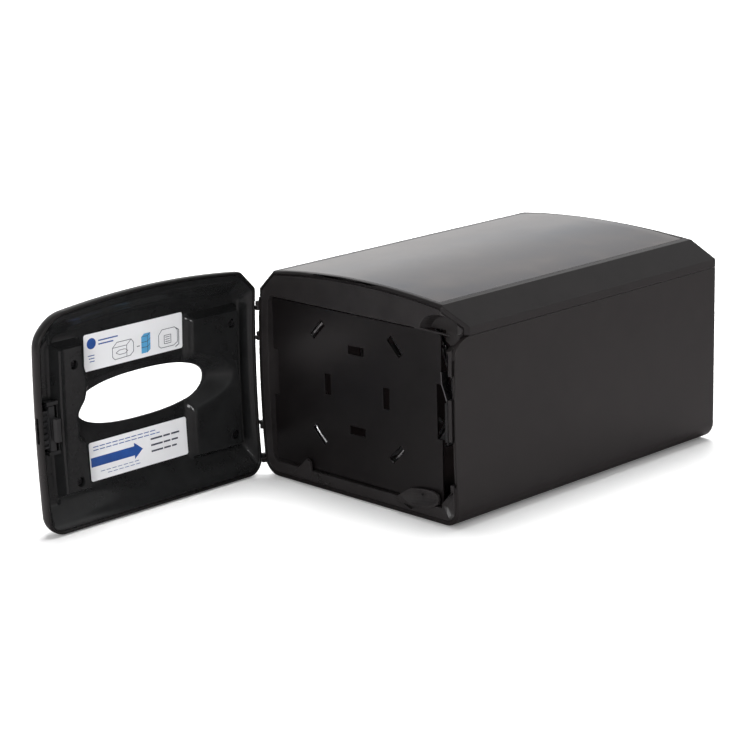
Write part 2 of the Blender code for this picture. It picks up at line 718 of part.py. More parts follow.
def build_pusher_spring(material):
    spring = helix("pusher_spring", radius=55.0, wire=1.5,
                   span=(PLATE_BACK + 0.4, REAR - 8.0), turns=8, steps=24,
                   side=COIL_X, up=COIL_Z)
    finish(spring, material, 40)


def build_spring_seat(material):
    """Ring in front of the rear panel with a raised collar inside the coil."""
    seat = rod_y(COIL_X, COIL_Z, (REAR - 7.6, REAR - 3.4), 57.6, sides=40, name="spring_seat")
    join(seat, rod_y(COIL_X, COIL_Z, (REAR - 15.0, REAR - 7.0), 50.9, 52.2, sides=40))
    cut(seat, rod_y(COIL_X, COIL_Z, (REAR - 20, REAR), 44.5, sides=40))
    finish(seat, material)


# --------------------------------------------------------------------- door
# The door is modelled closed. Door coordinates: x across from its hinge edge,
# y rearward from its bowed rim, world z. Mesh coordinates start at the hinge
# axis, about which the finished piece is turned open.
RIM_GAP = 0.4            # door rim to front rim, door closed
DOOR_SKIRT = 3.0         # straight part of the edge
DOOR_FILLET = 12.0       # radius between edge and outer face
DOOR_BULGE = 4.5
DOOR_WALL = 2.2
DOOR_SCREWS = [(21.0, 116.5), (21.0, 34.0), (162.5, 115.5), (162.5, 33.0)]  # (x, z)

MOUTH_X, MOUTH_Z = HALF_W, 79.8      # centre of the dispensing mouth
MOUTH_A, MOUTH_B = 56.8, 16.9        # half axes of the mouth
FUNNEL_A, FUNNEL_B = 80.0, 23.0      # half axes of the funnel around it
MOUTH_LIP = 3.0                      # shell opening beyond the mouth
FIELD_Y = -11.2                      # middle field of the inner panel
PANEL_T = 1.5


def open_door(obj):
    """Hang a closed-door mesh on the hinge axis, swung open 90 degrees."""
    obj.location = (AXIS_X * MM, AXIS_Y * MM, 0)
    obj.rotation_euler = (0, 0, -math.pi / 2)


def door_point(x, y, z):
    """Door coordinates to mesh coordinates about the hinge axis."""
    return (x + AXIS_OUT, y - bow_at(z) + AXIS_FRONT - RIM_GAP, z)


def door_rod(x, z, y_span, radius, sides):
    return rod(door_point(x, y_span[0], z), door_point(x, y_span[1], z), radius, sides=sides)


def super_ellipse(half_x, half_z, angle):
    power = 2 / 2.35
    c, s = math.cos(angle), math.sin(angle)
    return (half_x * math.copysign(abs(c) ** power, c),
            half_z * math.copysign(abs(s) ** power, s))


def face_y(x, z):
    """Depth of the bulged outer face of the door."""
    t_x, t_z = (x - MOUTH_X) / 86.0, (z - MOUTH_Z) / 66.0
    bulge = DOOR_BULGE * max(0.0, 1 - t_x * t_x) ** 0.6 * max(0.0, 1 - t_z * t_z) ** 0.6
    return -DOOR_SKIRT - DOOR_FILLET - bulge


def door_outline(inset):
    """Body outline with knee and shoulder rounded over on the free side."""
    full = outline(inset)
    i = OUTLINE.index((HALF_W, KNEE_H))
    knee, shoulder = Vector(full[i]), Vector(full[i + 1])
    reach = min(8.4, (shoulder - knee).length * 0.46)

    def soften(corner, before, after, steps=4):
        start = corner + (Vector(before) - corner).normalized() * reach
        end = corner + (Vector(after) - corner).normalized() * reach
        return [tuple(start.lerp(corner, t).lerp(corner.lerp(end, t), t))
                for t in [j / steps for j in range(steps + 1)]]
    softened = soften(knee, full[i - 2], shoulder) + soften(shoulder, knee, full[i + 2])
    return full[:i] + softened + full[i + 2:]


def mouth_ring(half_x, half_z):
    """(x, z) points around the mouth, one for each door outline point."""
    ring = []
    for x, z in door_outline(DOOR_FILLET):
        angle = math.atan2((z - MOUTH_Z) / 76.0, x / HALF_W)
        mouth_x, mouth_z = super_ellipse(half_x, half_z, angle)
        ring.append((mouth_x + MOUTH_X, mouth_z + MOUTH_Z))
    return ring


def door_rings():
    """Matching closed rings of the shell: outside rim to mouth, inside back."""
    def rim_ring(inset, y):
        return [(x + HALF_W, y, z) for x, z in door_outline(inset)]

    def fillet_ring(k, wall):
        radius = DOOR_FILLET - wall
        angle = math.pi / 2 * k / 4
        return rim_ring(wall + radius * (1 - math.cos(angle)),
                        -DOOR_SKIRT - radius * math.sin(angle))

    def face_ring(t, wall):
        ring = []
        for (edge_x, _, edge_z), (near_x, near_z) in zip(edge, near_mouth):
            x = edge_x + (near_x - edge_x) * t
            z = edge_z + (near_z - edge_z) * t
            ring.append((x, face_y(x, z) + wall, z))
        return ring

    edge = rim_ring(DOOR_FILLET, 0.0)
    near_mouth = mouth_ring(74.0, 33.0)
    lip = mouth_ring(MOUTH_A + MOUTH_LIP, MOUTH_B + MOUTH_LIP)
    lip_y = face_y(MOUTH_X, MOUTH_Z) + 1.2
    rings = [rim_ring(0.0, 0.0), rim_ring(0.0, -DOOR_SKIRT)]
    rings += [fillet_ring(k, 0.0) for k in range(1, 5)]
    rings += [face_ring(t, 0.0) for t in (0.33, 0.66, 1.0)]
    rings += [[(x, y, z) for x, z in lip] for y in (lip_y, lip_y + 1.3)]
    rings += [face_ring(t, wall) for t, wall in ((1.0, 1.8), (0.66, DOOR_WALL),
                                                 (0.33, DOOR_WALL))]
    rings += [fillet_ring(k, DOOR_WALL) for k in range(4, 0, -1)]
    rings.append(rim_ring(DOOR_WALL, 0.0))
    return rings


def build_door_shell(material):
    mesh = bmesh.new()
    rings = [[mesh.verts.new(door_point(*point)) for point in ring] for ring in door_rings()]
    skin(mesh, rings + rings[:1])
    shell = new_object("door_shell", mesh)
    # bosses for the panel screws
    for x, z in DOOR_SCREWS:
        join(shell, door_rod(x, z, (face_y(x, z) + 0.9, -8.4), 4.0, sides=16))
        cut(shell, door_rod(x, z, (-12.4, -8), 1.6, sides=12))
    # knuckles on the hinge side, each with a web running to the bowed rim
    for span in KNUCKLES:
        join(shell, hinge_barrel(0, 0, span))
        web = []
        for z in span:
            rim = -bow_at(z)
            web += [(0, -1.8, z), (0, 0.0, z), (3.0, rim - 2.4, z), (3.0, rim - 0.2, z)]
        join(shell, hull(web))
        cut(shell, hinge_bore(0, 0, span))
    for span in LUGS:
        cut(shell, hinge_notch(0, 0, span))
    # slot for the latch grip in the free edge
    slot_y = -3.0 - bow_at(LATCH_Z)
    cut(shell, box((189.0 + AXIS_OUT, 197 + AXIS_OUT), (slot_y - 2.0, slot_y + 1.2),
                   about(LATCH_Z, 9.0), bevel=0.8))
    open_door(shell)
    finish(shell, material, 32)


# --------------------------------------------------------- door inner panel
# Grid lines at the creases; the gaps are divided evenly.
PANEL_XS = [0.0, 3, 10, 12.5, 15, 55, 58.5, 147.6, 151, 154, 157.2, 160.2, 175.5, 178,
            185, 187, 188.7, 190.4, 193.0]
PANEL_ZS = [0.0, 5, 14, 22, 27, 56.8, 62.9, 96.7, 102.8, 125, 129, 134, 139.5, 145, 150,
            160.0]
THROUGH_PANEL = (-60, 30)

GUIDE_X = 176.7          # inner side of the latch guide
GUIDE_HALF_H = 18.5


def rise(value, start, run):
    """Smooth step from 0 at start to 1 at start + run; run may be negative."""
    t = min(1.0, max(0.0, (value - start) / run))
    return t * t * (3 - 2 * t)


def plateau(value, low, low_run, high, high_run):
    """1 between low and high, easing to 0 at both within the two runs."""
    return rise(value, low, low_run) * rise(value, high, -high_run)


def ledge_edge(z):
    """Foot of the inner wall of the free edge ledge, drawn back at the mouth."""
    return (151.0 + 6.2 * plateau(z, 57.0, 8.0, 91.0, 12.0)
            - 2.6 * math.exp(-((z - 101.0) / 8.0) ** 2))


def panel_y(x, z):
    """Depth of the inner panel: bordered tray, two raised ends, funnel."""
    height = z - BASE_Z
    # border slopes down from the rim on all sides
    to_top = SHOULDER_H + CROWN * max(0.0, 1 - ((x - HALF_W) / SHOULDER_X) ** 2) - height
    to_chamfer = ((HALF_W - abs(x - HALF_W)) * 0.71 + (SHOULDER_H - height) * 0.71 + 0.5) - 10.2
    border = max(1 - rise(to_top, 3.0, 17.0),
                 1 - rise(height, 3.0, 23.0),
                 1 - rise(x, 2.8, 7.0),
                 1 - rise(to_chamfer, 2.0, 14.0),
                 1 - rise(WIDTH - x, 2.6, 5.5))
    y = FIELD_Y + (-0.6 - FIELD_Y) * border
    # raised end next to the hinge
    raised = plateau(x, 10.0, 5.0, 58.5, 3.5) * plateau(z, 22.0, 4.5, 129.0, 4.0)
    y = max(y, FIELD_Y + (9.6 - 0.075 * max(0.0, x - 15.0)) * raised)
    # raised ledge next to the free edge, with a low bead
    ledge = ledge_edge(z)
    raised = plateau(x, ledge, 3.0, 178.0, 2.5) * plateau(z, 23.0, 4.0, 131.0, 3.0)
    y = max(y, FIELD_Y + 10.4 * raised)
    y += 0.8 * plateau(x, 172.6, 0.8, 176.4, 0.8) * raised
    # floor of the channel beside the ledge
    y = max(y, FIELD_Y + 2.8 * rise(x, 174.0, 4.0))
    # stay above the rounded inside of the shell near its edge
    to_edge = min(to_top, height, x, WIDTH - x, to_chamfer)
    if to_edge < DOOR_FILLET:
        radius = DOOR_FILLET - DOOR_WALL
        c = 1 - max(0.0, to_edge - DOOR_WALL) / radius
        y = max(y, -DOOR_SKIRT - radius * math.sqrt(max(0.0, 1 - c * c)) + 2.5)
    # funnel toward the mouth, taller near the hinge
    outer = math.hypot((x - MOUTH_X) / FUNNEL_A,
                       (z - MOUTH_Z) / (FUNNEL_B + 4.5 * rise(x, 62.0, -8.0)))
    inner = math.hypot((x - MOUTH_X) / MOUTH_A, (z - MOUTH_Z) / MOUTH_B)
    lip = FIELD_Y - 1.8
    if outer < 1.0 and x < ledge and y > lip:
        t = (inner - 1.0) / max(1e-6, (inner - 1.0) + (1.0 - outer)) if inner > 1 else 0.0
        y = lip + (y - lip) * rise(t, 0.0, 1.0)
    return y


def grid_lines(marks, step):
    """The marks, with each gap divided evenly into parts of about one step."""
    lines = [marks[0]]
    for low, high in zip(marks, marks[1:]):
        parts = max(1, round((high - low) / step))
        lines += [low + (high - low) * i / parts for i in range(1, parts + 1)]
    return lines


def panel_sheet():
    """Closed triangulated sheet over the whole grid."""
    xs, zs = grid_lines(PANEL_XS, 9.0), grid_lines(PANEL_ZS, 8.0)
    mesh = bmesh.new()
    top, under = [[[mesh.verts.new(door_point(x, panel_y(x, z) - drop, z)) for z in zs]
                   for x in xs] for drop in (0.0, PANEL_T)]
    last_i, last_j = len(xs) - 1, len(zs) - 1
    for i in range(last_i):
        for j in range(last_j):
            for grid, step in ((top, -1), (under, 1)):
                quad = (grid[i][j], grid[i + 1][j], grid[i + 1][j + 1], grid[i][j + 1])
                mesh.faces.new(quad[::step])
    for i in range(last_i):
        mesh.faces.new((top[i][0], top[i + 1][0], under[i + 1][0], under[i][0]))
        mesh.faces.new((top[i + 1][last_j], top[i][last_j],
                        under[i][last_j], under[i + 1][last_j]))
    for j in range(last_j):
        mesh.faces.new((top[0][j + 1], top[0][j], under[0][j], under[0][j + 1]))
        mesh.faces.new((top[last_i][j], top[last_i][j + 1],
                        under[last_i][j + 1], under[last_i][j]))
    bmesh.ops.triangulate(mesh, faces=mesh.faces)
    return new_object("door_inner_panel", mesh)


def build_inner_panel(material):
    panel = panel_sheet()
    # trim to the inside of the shell rim
    points = [(x + HALF_W + AXIS_OUT, z) for x, z in door_outline(DOOR_WALL + 0.4)]
    boolean(panel, prism(points, THROUGH_PANEL), "INTERSECT")
    # the dispensing mouth
    mouth = [super_ellipse(MOUTH_A, MOUTH_B, 2 * math.pi * i / 36) for i in range(36)]
    points = [(x + MOUTH_X + AXIS_OUT, z + MOUTH_Z) for x, z in mouth]
    cut(panel, prism(points, THROUGH_PANEL))
    # screw wells
    for x, z in DOOR_SCREWS:
        join(panel, door_rod(x, z, (-8.0, panel_y(x, z) - 0.4), 4.8, sides=16))
        cut(panel, door_rod(x, z, (-6.0, 3), 3.3, sides=16))
        cut(panel, door_rod(x, z, (-9.0, -5), 1.7, sides=12))
    # opening for the latch housing
    cut(panel, box((GUIDE_X - CLEAR + AXIS_OUT, 190.3 + AXIS_OUT), (-30, 20),
                   about(LATCH_Z, GUIDE_HALF_H + CLEAR)))
    open_door(panel)
    finish(panel, material, 40)


def build_door_screws(material):
    for i, (x, z) in enumerate(DOOR_SCREWS):
        open_door(build_screw("door_screw_%d" % (i + 1), door_point(x, 0.0, z), material,
                              **DOOR_SCREW))


def build_label(name, z_span, material):
    """Paper label on the middle field, following its bow."""
    left, right = 59.6, 146.5
    under, top = 0.2, 0.4            # faces of the paper above the panel
    low, high = z_span
    mesh = bmesh.new()
    rows = []
    for i in range(5):
        z = low + (high - low) * i / 4
        y = max(panel_y(109.0, z), FIELD_Y)
        rows.append([mesh.verts.new(door_point(x, y + lift, z)) for x, lift in
                     ((left, under), (right, under), (right, top), (left, top))])
    skin(mesh, rows)
    mesh.faces.new(rows[0])
    mesh.faces.new(rows[-1])
    label = new_object(name, mesh)
    open_door(label)
    finish(label, material, sharp_angle=None)


# -------------------------------------------------------------------- latch
# Latch parts: x and y in door coordinates, z from the latch's middle height.
LATCH_Y = door_point(0, 0, LATCH_Z)[1]
LATCH_SPRING_Y = LATCH_Y - 4.6
# (x, y) section of the hook
HOOK = [(180.9, -1.6), (183.5, -1.6), (183.5, 3.2), (185.3, 3.2), (183.9, 5.9), (180.9, 5.9)]
HOOK_HALF_H = 8.0
GRIP_GROOVES = 6
GRIP_PITCH = 4.2


def latch_box(x_span, y_span, z_span, name="tool"):
    return box([x + AXIS_OUT for x in x_span], [y + LATCH_Y for y in y_span],
               [z + LATCH_Z for z in z_span], name=name)


def build_latch_guide(material):
    """Frame fixed in the free edge channel."""
    x_span = (GUIDE_X, 186.0)
    guide = latch_box(x_span, (-9.6, -8.6), about(0, GUIDE_HALF_H), name="latch_guide")
    join(guide, latch_box(x_span, (-9.0, -1.6), (-GUIDE_HALF_H, -16.0)),
         latch_box(x_span, (-9.0, -1.6), (16.0, GUIDE_HALF_H)),
         latch_box((GUIDE_X, 177.5), (-9.0, -2.6), about(0, 16.5)))
    open_door(guide)
    finish(guide, material)


def build_latch_slide(material):
    """Sliding block with a grooved grip and a hook."""
    slide = latch_box((180.6, 185.2), (-8.2, -1.0), about(0, 15.5), name="latch_slide")
    join(slide, latch_box((184.8, 189.9), (-6.0, -2.0), about(0, 13.0)))
    for i in range(GRIP_GROOVES):
        z = (i - (GRIP_GROOVES - 1) / 2) * GRIP_PITCH
        cut(slide, latch_box((185.9, 191), (-3.2, 0), about(z, 0.9)))
    join(slide, prism([(x + AXIS_OUT, y + LATCH_Y) for x, y in HOOK],
                      about(LATCH_Z, HOOK_HALF_H), "xy"))
    # seat of the return spring
    cut(slide, rod((180.0 + AXIS_OUT, LATCH_SPRING_Y, LATCH_Z),
                   (183.2 + AXIS_OUT, LATCH_SPRING_Y, LATCH_Z), 2.3, sides=16))
    open_door(slide)
    finish(slide, material)


def build_latch_spring(material):
    spring = helix("latch_spring", radius=1.7, wire=0.28,
                   span=(177.7 + AXIS_OUT, 183.0 + AXIS_OUT), turns=5, steps=12,
                   side=LATCH_SPRING_Y, up=LATCH_Z, axis="x")
    open_door(spring)
    finish(spring, material, 40)


# ------------------------------------------------------ hinge pins and catch
CATCH_Y = FRONT - bow_at(LATCH_Z)    # bowed rim at the catch
# (x, z) section of the bent strip above the catch
LEAF = [(82.2, 108.0), (83.0, 108.0), (83.6, 100.0), (88.0, 89.2), (88.0, 88.4),
        (87.2, 88.4), (82.8, 99.6)]


def build_pins(material):
    for i, (lug, knuckle) in enumerate(zip(LUGS, KNUCKLES)):
        z_span = (min(lug[0], knuckle[0]) + 0.2, max(lug[1], knuckle[1]) - 0.2)
        pin = rod_z(AXIS_X, AXIS_Y, z_span, PIN_R, sides=16, name="hinge_pin_%d" % (i + 1))
        finish(pin, material)


def build_catch(material):
    catch = box((89.1, 89.8), (CATCH_Y - 0.3, CATCH_Y + 9.0), (59.0, 90.0), name="latch_catch")
    join(catch, box((87.4, 89.4), (CATCH_Y - 0.2, CATCH_Y + 2.4), (61.0, 88.0)))
    finish(catch, material)


def build_catch_leaf(material):
    finish(prism(LEAF, (CATCH_Y + 1.5, CATCH_Y + 8.0), name="catch_leaf"), material)


# ----------------------------------------------------------------- assembly
def build_all():
    housing = make_material("housing_black", colour=(0.018, 0.017, 0.017), roughness=0.45)
    bezel = make_material("bezel_black", colour=(0.022, 0.020, 0.020), roughness=0.42)
    cover = make_material("cover_black", colour=(0.020, 0.019, 0.019), roughness=0.40)
    glass = make_material("smoked_window", colour=(0.09, 0.09, 0.095), roughness=0.06)
    card = make_material("card_grey", colour=(0.16, 0.16, 0.165), roughness=0.7)
    rubber = make_material("mat_rubber", colour=(0.03, 0.03, 0.03), roughness=0.9)
    plate = make_material("plate_black", colour=(0.015, 0.014, 0.014), roughness=0.38)
    nylon = make_material("nylon_black", colour=(0.025, 0.025, 0.026), roughness=0.5)
    steel = make_material("spring_steel", colour=(0.62, 0.62, 0.63), roughness=0.25,
                          metallic=1.0)
    screw = make_material("screw_dark", colour=(0.06, 0.06, 0.065), roughness=0.4,
                          metallic=1.0)
    door = make_material("door_black", colour=(0.008, 0.009, 0.009), roughness=0.18)
    paper = make_material("label_white", colour=(0.85, 0.85, 0.86), roughness=0.5)
    latch = make_material("latch_grey", colour=(0.05, 0.05, 0.052), roughness=0.45)

    build_housing(housing)
    build_cover(cover)
    build_crowned_sheet("display_card", bottom=1.9, top=1.6, inset=1.2, material=card)
    build_crowned_sheet("display_window", bottom=1.45, top=-0.05, inset=0.3, material=glass)
    build_bezel(bezel)
    build_rear_panel(housing)
    build_rear_screws(screw)
    build_mat(rubber)
    build_pusher_plate(plate)
    build_slide_shoe(nylon)
    build_pusher_spring(steel)
    build_spring_seat(nylon)
    build_rails(nylon)
    build_pins(screw)
    build_catch(latch)
    build_catch_leaf(steel)
    build_door_shell(door)
    build_inner_panel(door)
    build_door_screws(screw)
    build_label("instruction_label", (105.0, 131.0), paper)
    build_label("data_label", (27.0, 54.5), paper)
    build_latch_guide(door)
    build_latch_slide(latch)
    build_latch_spring(steel)


build_all()
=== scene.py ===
"""Studio picture of the tabletop napkin dispenser, door open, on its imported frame."""
import math

import bmesh
import bpy
from mathutils import Matrix, Vector


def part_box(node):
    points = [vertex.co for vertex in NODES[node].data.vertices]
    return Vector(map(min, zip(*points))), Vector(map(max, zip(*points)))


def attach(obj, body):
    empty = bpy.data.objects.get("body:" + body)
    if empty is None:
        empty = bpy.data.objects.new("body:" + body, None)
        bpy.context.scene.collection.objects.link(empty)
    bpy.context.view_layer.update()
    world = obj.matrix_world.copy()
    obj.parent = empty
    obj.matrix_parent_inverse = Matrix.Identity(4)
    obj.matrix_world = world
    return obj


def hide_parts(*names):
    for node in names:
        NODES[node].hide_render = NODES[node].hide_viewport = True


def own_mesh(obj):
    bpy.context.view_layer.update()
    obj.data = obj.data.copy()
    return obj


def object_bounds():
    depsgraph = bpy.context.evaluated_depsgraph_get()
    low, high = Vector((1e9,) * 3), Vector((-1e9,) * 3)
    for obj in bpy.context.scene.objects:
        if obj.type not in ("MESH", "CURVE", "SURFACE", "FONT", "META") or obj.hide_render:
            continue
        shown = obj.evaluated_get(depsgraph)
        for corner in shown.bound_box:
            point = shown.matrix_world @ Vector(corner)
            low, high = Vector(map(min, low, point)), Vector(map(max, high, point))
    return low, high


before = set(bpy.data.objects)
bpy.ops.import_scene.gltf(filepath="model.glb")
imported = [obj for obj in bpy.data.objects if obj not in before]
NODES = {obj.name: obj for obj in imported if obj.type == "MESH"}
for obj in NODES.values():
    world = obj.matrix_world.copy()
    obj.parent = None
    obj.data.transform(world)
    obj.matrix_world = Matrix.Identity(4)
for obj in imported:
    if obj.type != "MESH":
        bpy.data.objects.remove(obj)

CAD_BOX = [list(c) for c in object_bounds()]
S = bpy.context.scene
MM = 0.001



# ------------------------------------------------------- shapes, millimetres
WIDTH = 193.0
BASE_Z = 1.0
KNEE_H = 138.0
SHOULDER_H = 152.4
SHOULDER_X = 82.2
CROWN = 5.3
CORNER_R = 12.6
BOW = 3.0
BOW_MID_H = 76.0
AXIS_OUT = 1.5
AXIS_FRONT = 1.0
RIM_GAP = 0.4
DOOR_SKIRT = 3.0
DOOR_FILLET = 12.0
DOOR_BULGE = 4.5
DOOR_WALL = 2.2
KNUCKLE_R = 1.9
PIN_R = 0.9
HX = WIDTH / 2
YF = -138.75
YR = 138.75
AXIS = (-HX - AXIS_OUT, YF - AXIS_FRONT)
PATTERN_X = -0.9
PATTERN_Z = 79.2
COIL_X = -3.9
COIL_Z = 77.9
SPRING_R = 55.0
WINDOW_X = 77.6
WINDOW_FRONT = 3.3
WINDOW_LENGTH = 259.0
SPRING_WIRE = 1.5
SPRING_TURNS = 8
LUGS = [(9.0, 12.0), (34.5, 37.2), (104.0, 106.7), (126.2, 129.2)]
KNUCKLES = [(12.4, 15.4), (37.6, 40.3), (100.9, 103.6), (122.8, 125.8)]
HOLE_U, HOLE_Z = 96.5, 79.8      # centre of the dispensing mouth
HOLE_A, HOLE_B = 56.8, 16.9      # half axes of the mouth
FUNNEL_A, FUNNEL_B = 80.0, 23.0  # half axes of the funnel around it
LABEL_V = -11.2                  # depth of the middle field of the inner panel
DOOR_SCREWS = [(21.0, 116.5), (21.0, 34.0), (162.5, 115.5), (162.5, 33.0)]
LATCH_Z = 75.0


def bow_at(z):
    """Forward bow of the rim at world height z (mm)."""
    t = (z - BASE_Z - BOW_MID_H) / BOW_MID_H
    return BOW * max(0.0, 1.0 - t * t)


def crown_z(x, drop=0.0):
    """Height of the crowned top at x, above the underside of the housing."""
    r = (SHOULDER_X ** 2 + CROWN ** 2) / (2 * CROWN)
    return SHOULDER_H + CROWN - r + math.sqrt((r - drop) ** 2 - x * x) if drop else \
        SHOULDER_H + CROWN - r + math.sqrt(r * r - x * x)


def super_ellipse(a, b, ang, n=2.35):
    c, s = math.cos(ang), math.sin(ang)
    return (a * math.copysign(abs(c) ** (2 / n), c), b * math.copysign(abs(s) ** (2 / n), s))


def face_v(u, z):
    """Depth of the bulged outer face of the door."""
    du, dz = (u - HOLE_U) / 86.0, (z - HOLE_Z) / 66.0
    return -DOOR_SKIRT - DOOR_FILLET - DOOR_BULGE * max(0.0, 1 - du * du) ** 0.6 * max(0.0, 1 - dz * dz) ** 0.6


def smooth(t):
    t = min(1.0, max(0.0, t))
    return t * t * (3 - 2 * t)


def ledge_edge(z):
    """Foot of the inner wall of the free edge ledge."""
    notch = smooth((z - 57.0) / 8.0) * smooth((91.0 - z) / 12.0)
    return 151.0 + 6.2 * notch - 2.6 * math.exp(-((z - 101.0) / 8.0) ** 2)


def panel_v(u, z):
    """Height of the inner panel: bordered tray, two raised ends, funnel."""
    h = z - BASE_Z
    # border slopes down from the rim on all four sides
    top = SHOULDER_H + CROWN * max(0.0, 1 - ((u - HX) / SHOULDER_X) ** 2) - h
    d_top = 1 - smooth((top - 3.0) / 17.0)
    d_bot = 1 - smooth((h - 3.0) / 23.0)
    d_hin = 1 - smooth((u - 2.8) / 7.0)
    cham = ((HX - abs(u - HX)) * 0.71 + (SHOULDER_H - h) * 0.71 + 0.5) - 10.2
    d_cha = 1 - smooth((cham - 2.0) / 14.0)
    d_free = 1 - smooth((WIDTH - u - 2.6) / 5.5)
    edge = max(d_top, d_bot, d_hin, d_cha, d_free)
    v = LABEL_V + (-0.6 - LABEL_V) * edge
    # raised end next to the hinge
    e = smooth((58.5 - u) / 3.5) * smooth((u - 10.0) / 5.0) * smooth((129.0 - z) / 4.0) * smooth((z - 22.0) / 4.5)
    v = max(v, LABEL_V + (9.6 - 0.075 * max(0.0, u - 15.0)) * e)
    # raised ledge next to the free edge, its inner wall drawn back beside the mouth
    inner = ledge_edge(z)
    e = smooth((u - inner) / 3.0) * smooth((178.0 - u) / 2.5) * smooth((131.0 - z) / 3.0) * smooth((z - 23.0) / 4.0)
    v = max(v, LABEL_V + 10.4 * e)
    v = max(v, v + 0.8 * smooth((u - 172.6) / 0.8) * smooth((176.4 - u) / 0.8) * e)
    # floor of the channel beside the ledge
    v = max(v, LABEL_V + 2.8 * smooth((u - 174.0) / 4.0))
    # stay above the rounded inside of the shell near its edge
    off = min(top, h, u, WIDTH - u, cham)
    ri = DOOR_FILLET - DOOR_WALL
    if off < DOOR_FILLET:
        c = 1 - max(0.0, off - DOOR_WALL) / ri
        v = max(v, -DOOR_SKIRT - ri * math.sqrt(max(0.0, 1 - c * c)) + 2.5)
    # funnel toward the mouth
    a = (u - HOLE_U) / FUNNEL_A
    b = (z - HOLE_Z) / (FUNNEL_B + 4.5 * smooth((62.0 - u) / 8.0))
    q = math.sqrt(a * a + b * b)
    a2 = (u - HOLE_U) / HOLE_A
    b2 = (z - HOLE_Z) / HOLE_B
    q2 = math.sqrt(a2 * a2 + b2 * b2)
    if q < 1.0 and u < inner:
        t = (q2 - 1.0) / max(1e-6, (q2 - 1.0) + (1.0 - q)) if q2 > 1 else 0.0
        lip = LABEL_V - 1.8
        v = lip + (v - lip) * smooth(t) if v > lip else v
    return v




def node_group(name, build):
    g = bpy.data.node_groups.new(name, "GeometryNodeTree")
    g.interface.new_socket("Geometry", in_out="INPUT", socket_type="NodeSocketGeometry")
    g.interface.new_socket("Geometry", in_out="OUTPUT", socket_type="NodeSocketGeometry")
    a, b = g.nodes.new("NodeGroupInput"), g.nodes.new("NodeGroupOutput")
    build(g, a.outputs[0], b.inputs[0])
    return g


def build_weld(g, src, dst):
    """Join the split corners of the imported faces, nothing moves."""
    m = g.nodes.new("GeometryNodeMergeByDistance")
    m.inputs["Distance"].default_value = 2e-7
    g.links.new(src, m.inputs["Geometry"])
    g.links.new(m.outputs["Geometry"], dst)


def build_shade(g, src, dst):
    """Smooth shading with creases kept where faces meet at over 28 degrees."""
    face = g.nodes.new("GeometryNodeSetShadeSmooth")
    face.domain = "FACE"
    edge = g.nodes.new("GeometryNodeSetShadeSmooth")
    edge.domain = "EDGE"
    edge.inputs["Shade Smooth"].default_value = False
    ang = g.nodes.new("GeometryNodeInputMeshEdgeAngle")
    cmp = g.nodes.new("FunctionNodeCompare")
    cmp.data_type = "FLOAT"
    cmp.operation = "GREATER_THAN"
    g.links.new(ang.outputs["Unsigned Angle"], cmp.inputs[0])
    cmp.inputs[1].default_value = math.radians(28.0)
    g.links.new(src, face.inputs["Geometry"])
    g.links.new(face.outputs["Geometry"], edge.inputs["Geometry"])
    g.links.new(cmp.outputs["Result"], edge.inputs["Selection"])
    g.links.new(edge.outputs["Geometry"], dst)


WELD = node_group("weld_corners", build_weld)
SHADE = node_group("shade_by_angle", build_shade)


def weld_and_shade(o, between=None):
    m = o.modifiers.new("weld", "NODES")
    m.node_group = WELD
    if between:
        between(o)
    m = o.modifiers.new("shade", "NODES")
    m.node_group = SHADE


def round_cover_front(o):
    """Roll the front outer edge of the cover over, as a modifier on the node."""
    group = o.vertex_groups.new(name="front_edge")
    inv = o.matrix_world
    pick = []
    for v in o.data.vertices:
        p = (inv @ v.co) / MM
        x, z = abs(p.x), p.z - BASE_Z
        if p.y > YF + 0.05:
            continue
        if x >= SHOULDER_X:
            outer = (HX - x) * (SHOULDER_H - KNEE_H) < (z - KNEE_H + 0.12) * (HX - SHOULDER_X) or x > HX - 0.06
        else:
            outer = z > crown_z(x) - 0.15
        if outer:
            pick.append(v.index)
    group.add(pick, 1.0, "REPLACE")
    m = o.modifiers.new("front_round", "BEVEL")
    m.limit_method = "VGROUP"
    m.vertex_group = group.name
    m.width = 1.7 * MM
    m.segments = 5
    m.use_clamp_overlap = False


# ------------------------------------------------------------- mesh utilities
def obj_from(name, bm, mat=None, sharp=40.0, body=None, hidden=False):
    """Object from a bmesh in millimetres, smooth shaded with sharp creases."""
    bmesh.ops.remove_doubles(bm, verts=bm.verts, dist=1e-4)
    bmesh.ops.recalc_face_normals(bm, faces=bm.faces)
    bmesh.ops.scale(bm, vec=(MM, MM, MM), verts=bm.verts)
    me = bpy.data.meshes.new(name)
    bm.to_mesh(me)
    bm.free()
    o = bpy.data.objects.new(name, me)
    S.collection.objects.link(o)
    if mat:
        dress(o, mat, sharp)
    if body:
        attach(o, body)
    return o


def dress(o, mat, angle=30.0):
    o.data.materials.clear()
    o.data.materials.append(mat)
    for p in o.data.polygons:
        p.use_smooth = True
        p.material_index = 0
    o.data.set_sharp_from_angle(angle=math.radians(angle))


def to_world(bm):
    """Door mesh coordinates (about the hinge, door shut) to the open door."""
    bmesh.ops.transform(bm, matrix=Matrix.Translation((AXIS[0], AXIS[1], 0)) @ Matrix.Rotation(-math.pi / 2, 4, "Z"),
                        verts=bm.verts)


def uvz(u, v, z):
    return (u + AXIS_OUT, v + AXIS_FRONT - RIM_GAP, z)


def add_prism(bm, pts, lo, hi, plane="xz"):
    def at(p, q, d):
        return {"xz": (p, d, q), "yz": (d, p, q), "xy": (p, q, d)}[plane]
    n = len(pts)
    a = [bm.verts.new(at(p, q, lo)) for p, q in pts]
    b = [bm.verts.new(at(p, q, hi)) for p, q in pts]
    bm.faces.new(a)
    bm.faces.new(list(reversed(b)))
    for i in range(n):
        j = (i + 1) % n
        bm.faces.new((a[i], b[i], b[j], a[j]))


